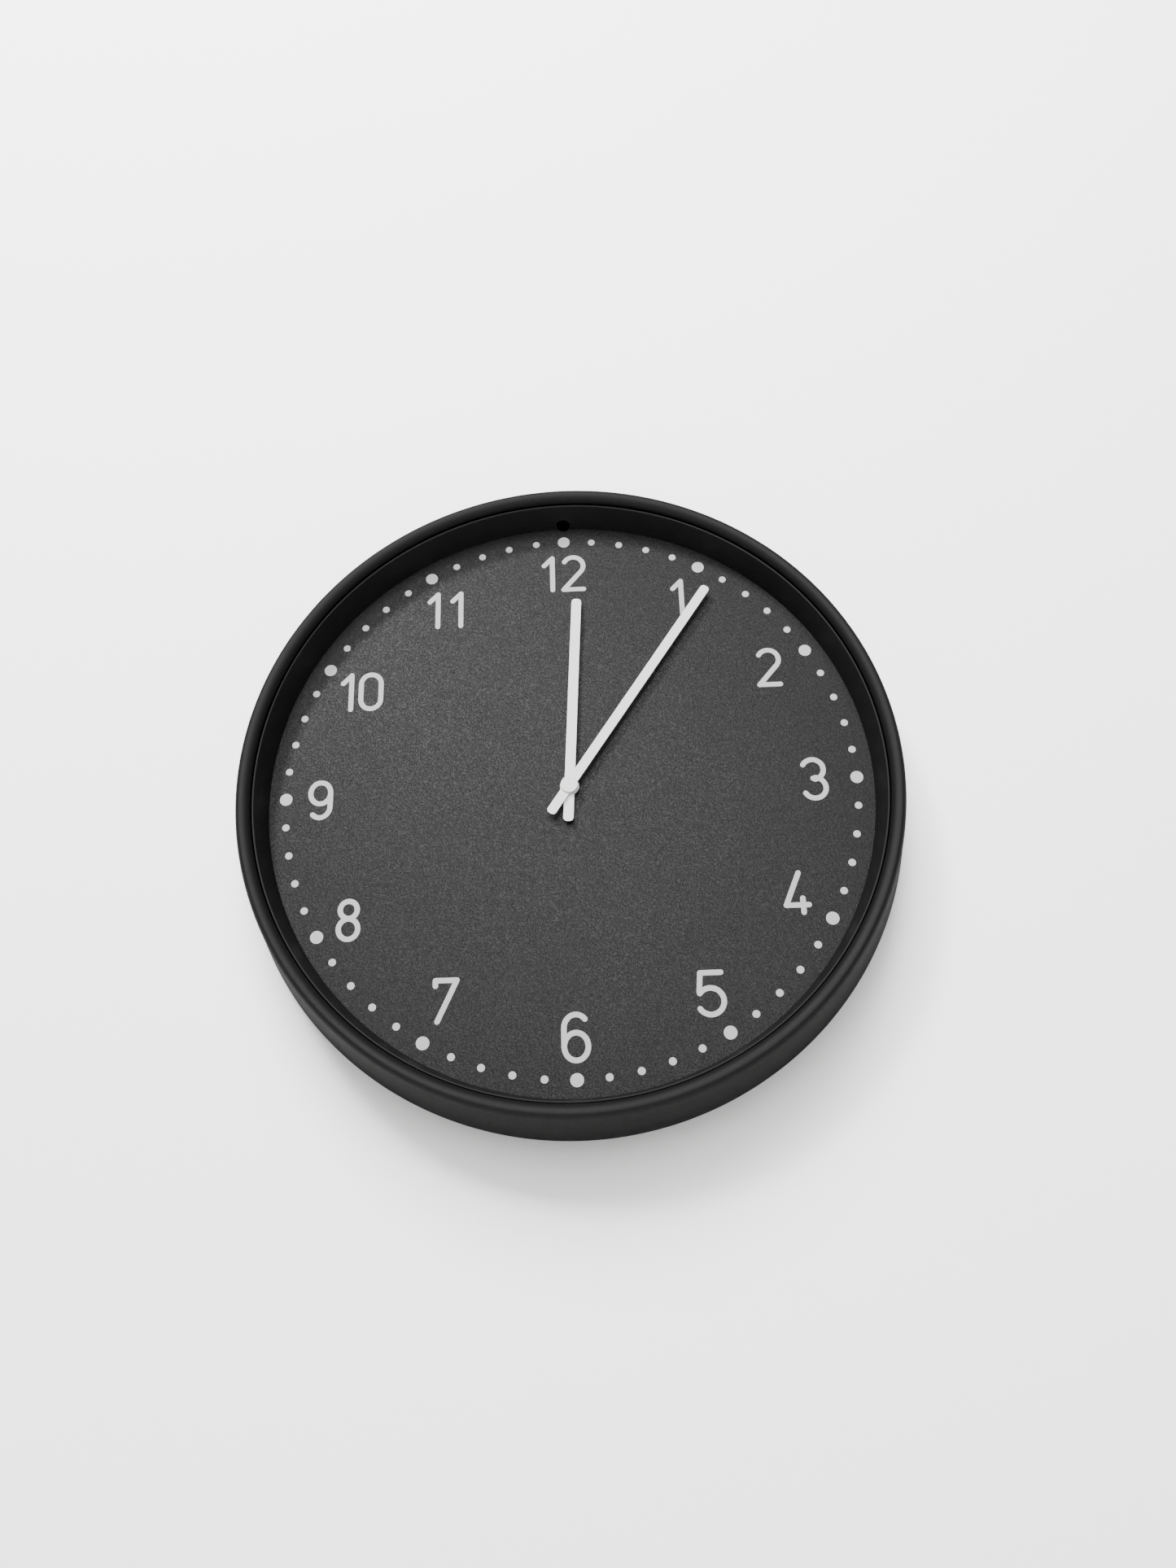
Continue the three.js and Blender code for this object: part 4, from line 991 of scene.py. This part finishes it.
# ---------------------------------------------------------------- hands
def hand(name, node, tip, tail, width, hub, bore, turn):
    """A pressed bar with round corners, its hub and its collar, turned to its angle."""
    sizes = bpy.context.scene.clock_hands
    low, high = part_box(node)
    front, back = low.y, low.y + sizes.thickness
    bar = rounded_bar(name, (-width / 2, front, -tail), (width / 2, back, tip), sizes.tip_radius, 8)
    disc = rod("hub", hub, front, back, sides=ROUND_SIDES)
    collar_wall = 0.8 * MM
    collar = rod("collar", bore + collar_wall, back - sizes.thickness / 2, high.y)
    hole = rod("bore", bore, front - OVERRUN, high.y + OVERRUN)
    combined(bar, [disc, collar])
    combined(bar, [hole], "DIFFERENCE")
    softened(bar, sizes.edge, 50, 3)
    bar.rotation_euler.y = turn
    return settled(bar)


class CLOCK_OT_hands(bpy.types.Operator):
    """Hour hand, minute hand and the cap over them"""
    bl_idname = "clock.hands"
    bl_label = "Hands"

    def execute(self, context):
        sizes = context.scene.clock_hands
        white = hand_white_material()
        hour = hand("hour_hand_body", "hour_hand", sizes.hour_length, sizes.hour_tail,
                    sizes.hour_width, sizes.hour_hub, 2.8 * MM, sizes.hour_angle)
        handed_over(hour, "hour_group", white, ["hour_hand"], flat_faces=True)
        minute = hand("minute_hand_body", "minute_hand", sizes.minute_length, sizes.minute_tail,
                      sizes.minute_width, sizes.minute_hub, 1.8 * MM, sizes.minute_angle)
        handed_over(minute, "minute_group", white, ["minute_hand"], flat_faces=True)
        low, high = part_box("hand_cap")
        radius, crown = high.x, low.y + 0.3 * MM
        moat, groove = crown + 0.12 * MM, crown + 0.16 * MM
        rounding, foot = 0.45 * MM, crown + 1.2 * MM
        cap = turned("hand_cap_body", [
            (0, low.y),
            (0.35 * MM, low.y),
            (0.52 * MM, low.y + 0.08 * MM),
            (0.6 * MM, crown - 0.05 * MM),
            (0.68 * MM, moat),
            (1.0 * MM, moat),
            (1.15 * MM, crown),
            (radius * 0.60, crown),
            (radius * 0.64, groove),
            (radius * 0.70, groove),
            (radius * 0.74, crown),
            *curved((radius - rounding, crown + rounding), (rounding, rounding), -90, 0, 5),
            (radius, foot),
            (0.8 * MM, foot),
            (0.7 * MM, high.y),
            (0, high.y),
        ])
        handed_over(cap, "minute_group", white, ["hand_cap"])
        return {"FINISHED"}


# ---------------------------------------------------------------- screws and hanger
def screw_body(node, head_height):
    """A pan-head screw with a cross recess, on the Y axis and in the depth of its node."""
    low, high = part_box(node)
    head = (high.x - low.x) / 2
    seat = high.y - head_height
    crest = 1.3 * MM
    root = crest * 0.78
    pitch = 0.8 * MM
    outline = [(0, low.y), (0.3 * MM, low.y + 0.3 * MM)]
    turns = int((seat - low.y - 2.2 * MM) / pitch)
    depth = low.y + 1.2 * MM
    for _ in range(turns):
        outline += [(root, depth), (crest, depth + 0.4 * MM)]
        depth += pitch
    outline += [
        (root, depth),
        (root, seat),
        (head - 0.2 * MM, seat),
        (head, seat + 0.2 * MM),
        *curved((head * 0.62, high.y - 0.9 * MM), (head * 0.38, 0.9 * MM), 10, 90, 6),
        (0, high.y),
    ]
    piece = turned("screw", outline, SMALL_SIDES)
    recess_floor = high.y - 0.9 * MM
    for wide, tall in ((1.7 * MM, 0.3 * MM), (0.3 * MM, 1.7 * MM)):
        slot = block("recess", (-wide, recess_floor, -tall), (wide, high.y + OVERRUN, tall))
        combined(piece, [slot], "DIFFERENCE")
    return piece


class CLOCK_OT_screws(bpy.types.Operator):
    """Screws of the frame, the hanger and the movement"""
    bl_idname = "clock.screws"
    bl_label = "Screws"

    def execute(self, context):
        colours = context.scene.clock_colours
        zinc = sheet_metal("Screw zinc", colours.zinc, 0.34, (1, 1, 1), 0.003)
        for kind, count, head_height in (
            ("frame", 6, 2.0 * MM),
            ("hanger", 2, 1.4 * MM),
            ("movement", 4, 2.0 * MM),
        ):
            master = screw_body(f"{kind}_screw_1", head_height)
            for index in range(1, count + 1):
                node = f"{kind}_screw_{index}"
                across, up = middle_of(node)
                recess_turn = math.radians(17 * index)
                screw = copied(master, f"{node}_body", (across, 0, up), recess_turn)
                handed_over(screw, "case", zinc, [node])
            bpy.data.objects.remove(master)
        return {"FINISHED"}


class CLOCK_OT_hanger(bpy.types.Operator):
    """Pressed steel plate with a keyhole"""
    bl_idname = "clock.hanger"
    bl_label = "Hanger plate"

    def execute(self, context):
        piece = softened(cad_copy("hanger_plate", "hanger_plate_body"), 0.18 * MM, 25)
        zinc = sheet_metal("Hanger zinc", context.scene.clock_colours.zinc, 0.36, (1, 1, 25), 0.006)
        handed_over(piece, "case", zinc, ["hanger_plate"], flat_faces=True)
        return {"FINISHED"}


# ---------------------------------------------------------------- movement
def movement_black_material():
    tint = bpy.context.scene.clock_colours.movement_black
    return moulded_plastic("Movement black", tint, 0.46, 1300, 0.014, 0.14, 0.12)


def cover_marks():
    """Raised marks on the cover: a curved arrow beside the knob, and the two ends of the battery."""
    low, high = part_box("movement_cover")
    knob = Vector(middle_of("setting_knob"))
    reach = 8.2 * MM
    curve = [knob + Vector(around(reach, turn)) for turn in range(150, 261, 10)]
    tip = curve[-1]
    barbs = [tip + Vector((1.9 * MM, -0.5 * MM)), tip, tip + Vector((-1.3 * MM, -1.9 * MM))]
    bay_top = low.z + 3.2 * MM
    minus = [(low.x + 4 * MM, bay_top), (low.x + 7 * MM, bay_top)]
    plus_across = [(high.x - 7 * MM, bay_top), (high.x - 4 * MM, bay_top)]
    plus_up = [(high.x - 5.5 * MM, bay_top - 1.5 * MM), (high.x - 5.5 * MM, bay_top + 1.5 * MM)]
    lines = (curve, barbs, minus, plus_across, plus_up)
    return [stroke(line, 0.7 * MM, high.y - 0.15 * MM, high.y + 0.2 * MM) for line in lines]


class CLOCK_OT_movement_case(bpy.types.Operator):
    """Housing and cover of the movement"""
    bl_idname = "clock.movement_case"
    bl_label = "Movement case"

    def execute(self, context):
        black = movement_black_material()
        housing = softened(cad_copy("movement_housing", "movement_housing_body"), 0.3 * MM, 50)
        handed_over(housing, "case", black, ["movement_housing"], flat_faces=True)
        cover = softened(cad_copy("movement_cover", "movement_cover_body"), 0.3 * MM, 50)
        combined(cover, cover_marks())
        handed_over(cover, "case", black, ["movement_cover"], flat_faces=True)
        return {"FINISHED"}


class CLOCK_OT_setting_knob(bpy.types.Operator):
    """Fluted knob that sets the hands"""
    bl_idname = "clock.setting_knob"
    bl_label = "Setting knob"

    def execute(self, context):
        low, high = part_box("setting_knob")
        radius = (high.x - low.x) / 2
        bore, dish = 1.5 * MM, high.y - 0.5 * MM
        knob = turned("setting_knob_body", filleted([
            (bore, low.y, 0.1 * MM),
            (radius, low.y, 0.2 * MM),
            (radius, high.y, 0.45 * MM),
            (radius * 0.62, high.y, 0.2 * MM),
            (radius * 0.52, dish, 0.2 * MM),
            (bore, dish, 0.0),
        ]), 96)
        for degrees in range(0, 360, 18):
            place = around(radius + 0.1 * MM, degrees)
            flute = rod("flute", 0.6 * MM, low.y - OVERRUN, high.y + OVERRUN, place, 16)
            combined(knob, [flute], "DIFFERENCE")
        plug_radius, plug_front, plug_back = 1.8 * MM, low.y + 0.9 * MM, high.y - 0.7 * MM
        plug = turned("plug", [
            (0, plug_front),
            (plug_radius, plug_front),
            (plug_radius, plug_back),
            (0, plug_back),
        ], SMALL_SIDES)
        combined(knob, [plug])
        across, up = middle_of("setting_knob")
        knob.location = (across, 0, up)
        grey = moulded_plastic("Knob grey", context.scene.clock_colours.knob_grey, 0.45, 1500, 0.01)
        handed_over(knob, "setting_group", grey, ["setting_knob"])
        return {"FINISHED"}


class CLOCK_OT_battery(bpy.types.Operator):
    """Cylindrical cell in a printed sleeve, with bare metal ends"""
    bl_idname = "clock.battery"
    bl_label = "Battery"

    def execute(self, context):
        colours = context.scene.clock_colours
        low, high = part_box("battery")
        radius = (high.y - low.y) / 2
        middle = ((low + high) / 2).yz
        size = high.x - low.x
        can = turned("battery_can", [
            (0, 0),
            (radius * 0.55, 0),
            (radius * 0.62, 0.35 * MM),
            (radius * 0.8, 0.45 * MM),
            *curved((radius - 0.75 * MM, 0.95 * MM), (0.6 * MM, 0.6 * MM), 270, 360, 4),
            (radius - 0.15 * MM, size - 2.1 * MM),
            *curved((radius - 0.75 * MM, size - 2.1 * MM), (0.6 * MM, 0.6 * MM), 0, 90, 4),
            (radius * 0.45, size - 1.3 * MM),
            *curved((radius * 0.38 - 0.3 * MM, size - 0.3 * MM), (0.3 * MM, 0.3 * MM), 0, 90, 3),
            (0, size),
        ])
        sleeve = turned("battery_sleeve", [
            (radius * 0.72, 0.18 * MM),
            *curved((radius - 0.7 * MM, 0.7 * MM), (0.7 * MM, 0.6 * MM), 270, 360, 5),
            (radius, size - 1.9 * MM),
            *curved((radius - 0.7 * MM, size - 1.9 * MM), (0.7 * MM, 0.6 * MM), 0, 90, 5),
            (radius * 0.70, size - 1.3 * MM),
            (radius * 0.70, size - 1.4 * MM),
            *curved((radius - 0.75 * MM, size - 2.0 * MM), (0.63 * MM, 0.6 * MM), 90, 0, 4),
            *curved((radius - 0.75 * MM, 0.82 * MM), (0.63 * MM, 0.55 * MM), 360, 270, 4),
            (radius * 0.72, 0.27 * MM),
        ])
        sleeve_finish = moulded_plastic("Battery sleeve", colours.sleeve_grey, 0.28, 600, 0.01, 0.12, 0.12)
        for piece, slot, finish in (
            (can, "contact_nickel", sheet_metal("Battery can", colours.zinc, 0.25, (1, 1, 1), 0.003)),
            (sleeve, "battery_wrap", sleeve_finish),
        ):
            piece.rotation_euler.z = -math.pi / 2
            piece.location = (low.x, middle[0], middle[1])
            handed_over(piece, "battery_group", finish, ["battery"])
        return {"FINISHED"}


class CLOCK_OT_train(bpy.types.Operator):
    """Finishes for the wheels, the motor and the electrics inside the movement"""
    bl_idname = "clock.train"
    bl_label = "Wheels, motor and electrics"

    def execute(self, context):
        colours = context.scene.clock_colours
        cream = moulded_plastic("Wheel cream", colours.gear_cream, 0.42, 1800, 0.006, 0.06)
        black = moulded_plastic("Wheel black", (0.02, 0.02, 0.023), 0.42, 1800, 0.006)
        steel = sheet_metal("Contact nickel", colours.zinc, 0.28, (1, 1, 25), 0.004)
        finishes = {
            "hour_wheel": cream, "minute_wheel": cream, "centre_wheel": cream, "third_wheel": cream,
            "seconds_wheel": cream, "step_wheel": cream, "rotor": cream, "coil_bobbin": cream,
            "minute_shaft": black, "setting_pinion": black,
            "train_plate": movement_black_material(),
            "rotor_magnet": sheet_metal("Magnet grey", (0.09, 0.09, 0.10), 0.5, (1, 1, 1), 0.008),
            "stator": sheet_metal("Stator steel", (0.45, 0.45, 0.46), 0.35, (25, 1, 1), 0.004),
            "coil_core": sheet_metal("Core steel", (0.45, 0.45, 0.46), 0.35, (1, 1, 25), 0.004),
            "coil_winding": sheet_metal("Coil copper", colours.copper, 0.3, (1, 1, 60), 0.03),
            "circuit_board": moulded_plastic("Board green", colours.board_green, 0.4, 900, 0.01),
            "controller_chip": moulded_plastic("Chip black", (0.01, 0.01, 0.011), 0.55, 1500, 0.01),
            "quartz_crystal": sheet_metal("Crystal can", colours.zinc, 0.22, (1, 1, 1), 0.002),
            "contact_positive": steel, "contact_negative": steel,
        }
        for node, material in finishes.items():
            piece = frame["nodes"][node]
            piece.data.materials.clear()
            piece.data.materials.append(material)
        return {"FINISHED"}


# ---------------------------------------------------------------- stage
def lamp(name, power, size, place, aim=(0, 0, 0)):
    data = bpy.data.lights.new(name, "AREA")
    data.energy = power
    data.shape = "RECTANGLE"
    data.size, data.size_y = size
    piece = bpy.data.objects.new(name, data)
    bpy.context.scene.collection.objects.link(piece)
    piece.location = place
    piece.rotation_euler = (Vector(aim) - Vector(place)).to_track_quat("-Z", "Y").to_euler()
    return piece


def wall_material():
    """Pale paint, clear from behind and to the lamps there, so that the back of the clock is seen. Inside
    the clock's back edge the paint is black, painted shade, and for every ray but camera rays it is dimmed,
    which darkens its reflection and bounce on the clock: painted shade.
    """
    material, tree, shader, coordinates = bare_material("Wall paint", {"Specular IOR Level": 0.1})
    painted(tree, shader, coordinates, bpy.context.scene.clock_colours.wall_pale, 0.02, 3, 0.75, 0.05, 6)
    paths = tree.nodes.new("ShaderNodeLightPath").outputs
    tone = shader.inputs["Base Color"].links[0].from_socket
    # Painted shade: for every ray but camera rays the paint is dimmed to 0.4, so its reflection and bounce
    # on the clock are darker.
    dimmed_off_camera = ranged(tree, paths["Is Camera Ray"], 0, 1, 0.4, 1)
    # Painted shade: the wall inside the clock's back edge is painted black.
    from_axis = added(tree, "ShaderNodeVectorMath", {0: coordinates}, operation="LENGTH").outputs["Value"]
    outside_painted_shadow = math_node(tree, "GREATER_THAN", from_axis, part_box("outer_frame")[1].x - 2 * MM)
    painted_shade_value = math_node(tree, "MULTIPLY", dimmed_off_camera, outside_painted_shadow)
    paint_with_painted_shade = added(tree, "ShaderNodeHueSaturation", {"Color": tone, "Value": painted_shade_value})
    tree.links.new(paint_with_painted_shade.outputs["Color"], shader.inputs["Base Color"])
    clear = tree.nodes.new("ShaderNodeBsdfTransparent")
    mix = tree.nodes.new("ShaderNodeMixShader")
    behind = tree.nodes.new("ShaderNodeNewGeometry").outputs["Backfacing"]
    tree.links.new(math_node(tree, "MAXIMUM", behind, paths["Is Shadow Ray"]), mix.inputs["Fac"])
    tree.links.new(shader.outputs[0], mix.inputs[1])
    tree.links.new(clear.outputs[0], mix.inputs[2])
    tree.links.new(mix.outputs[0], tree.nodes["Material Output"].inputs["Surface"])
    return material


class CLOCK_OT_stage(bpy.types.Operator):
    """Pale wall and floor, soft lamps and the camera"""
    bl_idname = "clock.stage"
    bl_label = "Stage"

    def execute(self, context):
        scene, stage = context.scene, context.scene.clock_stage
        only()
        behind_back_edge = (0, 0.4 * MM, 0)
        upright = (math.pi / 2, 0, 0)
        bpy.ops.mesh.primitive_plane_add(size=12, location=behind_back_edge, rotation=upright)
        wall = settled(named("wall"))
        wall.data.materials.append(wall_material())
        only()
        bpy.ops.mesh.primitive_plane_add(size=12, location=(0, 0, -stage.floor_drop))
        floor = settled(named("floor"))
        paint = moulded_plastic("Floor paint", scene.clock_colours.wall_pale, 0.7, 60, 0.02, 0.03, 0.05)
        floor.data.materials.append(paint)

        washed = bpy.data.collections.new("washed")
        washed.objects.link(wall)
        below_clock = (0, 0, -0.45)
        wash = lamp("wash", stage.wash_power, (1.6, 1.2), (-0.3, -1.7, 1.9), below_clock)
        wash.light_linking.receiver_collection = washed
        lamp("key", stage.key_power, (0.3, 0.3), (-0.75, -1.5, 1.3))
        lamp("round", stage.round_power, (3.2, 3.2), (0.2, -2.8, -0.1))
        lamp("front", stage.fill_power, (1.0, 1.0), (-0.05, -1.75, 0.62))
        behind = bpy.data.collections.new("behind")
        for piece in scene.objects:
            if piece.type == "MESH" and piece.name not in ("outer_frame_body", "inner_ring_body"):
                behind.objects.link(piece)
        for name, share, place in (("back_left", 1, (-0.9, 1.3, 0.8)), ("back_right", 0.6, (1.1, 1.2, 0.1))):
            back = lamp(name, stage.back_power * share, (1.2, 1.2), place)
            back.light_linking.receiver_collection = behind

        world = bpy.data.worlds.new("Studio")
        world.use_nodes = True
        background = world.node_tree.nodes["Background"]
        fed(world.node_tree, background, {"Color": (0.9, 0.9, 0.9, 1), "Strength": stage.room_light})
        scene.world = world

        data = bpy.data.cameras.new("camera")
        data.lens = stage.lens
        data.sensor_width = 36
        camera = bpy.data.objects.new("camera", data)
        scene.collection.objects.link(camera)
        place, aim = Vector(stage.camera_place), Vector(stage.camera_aim)
        straight = (aim - place).to_track_quat("-Z", "Y").to_matrix().to_4x4()
        roll = Matrix.Rotation(stage.camera_roll, 4, "Z")
        camera.matrix_world = Matrix.Translation(place) @ straight @ roll
        scene.camera = camera
        return {"FINISHED"}


# ---------------------------------------------------------------- add-on
PIECE_OPERATORS = (
    CLOCK_OT_outer_frame,
    CLOCK_OT_inner_ring,
    CLOCK_OT_dial_plate,
    CLOCK_OT_numerals,
    CLOCK_OT_dots,
    CLOCK_OT_hands,
    CLOCK_OT_screws,
    CLOCK_OT_hanger,
    CLOCK_OT_movement_case,
    CLOCK_OT_setting_knob,
    CLOCK_OT_battery,
    CLOCK_OT_train,
    CLOCK_OT_stage,
)
PROPERTY_GROUPS = {
    "clock_case": CaseSizes,
    "clock_dial": DialSizes,
    "clock_hands": HandSizes,
    "clock_colours": FinishColours,
    "clock_stage": StageSettings,
}


class CLOCK_PT_sidebar(bpy.types.Panel):
    """Lists the pieces of the clock"""
    bl_idname = "CLOCK_PT_sidebar"
    bl_label = "Round wall clock"
    bl_space_type = "VIEW_3D"
    bl_region_type = "UI"
    bl_category = "Clock"

    def draw(self, context):
        for operator in PIECE_OPERATORS:
            self.layout.operator(operator.bl_idname)
        for name, group in PROPERTY_GROUPS.items():
            box = self.layout.box()
            for key in group.__annotations__:
                box.prop(getattr(context.scene, name), key)


def register():
    for name, group in PROPERTY_GROUPS.items():
        bpy.utils.register_class(group)
        setattr(bpy.types.Scene, name, bpy.props.PointerProperty(type=group))
    for operator in PIECE_OPERATORS:
        bpy.utils.register_class(operator)
    bpy.utils.register_class(CLOCK_PT_sidebar)


def unregister():
    bpy.utils.unregister_class(CLOCK_PT_sidebar)
    for operator in reversed(PIECE_OPERATORS):
        bpy.utils.unregister_class(operator)
    for name, group in PROPERTY_GROUPS.items():
        delattr(bpy.types.Scene, name)
        bpy.utils.unregister_class(group)


def main():
    register()
    for operator in PIECE_OPERATORS:
        area, action = operator.bl_idname.split(".")
        getattr(getattr(bpy.ops, area), action)()


if __name__ == "__main__":
    main()
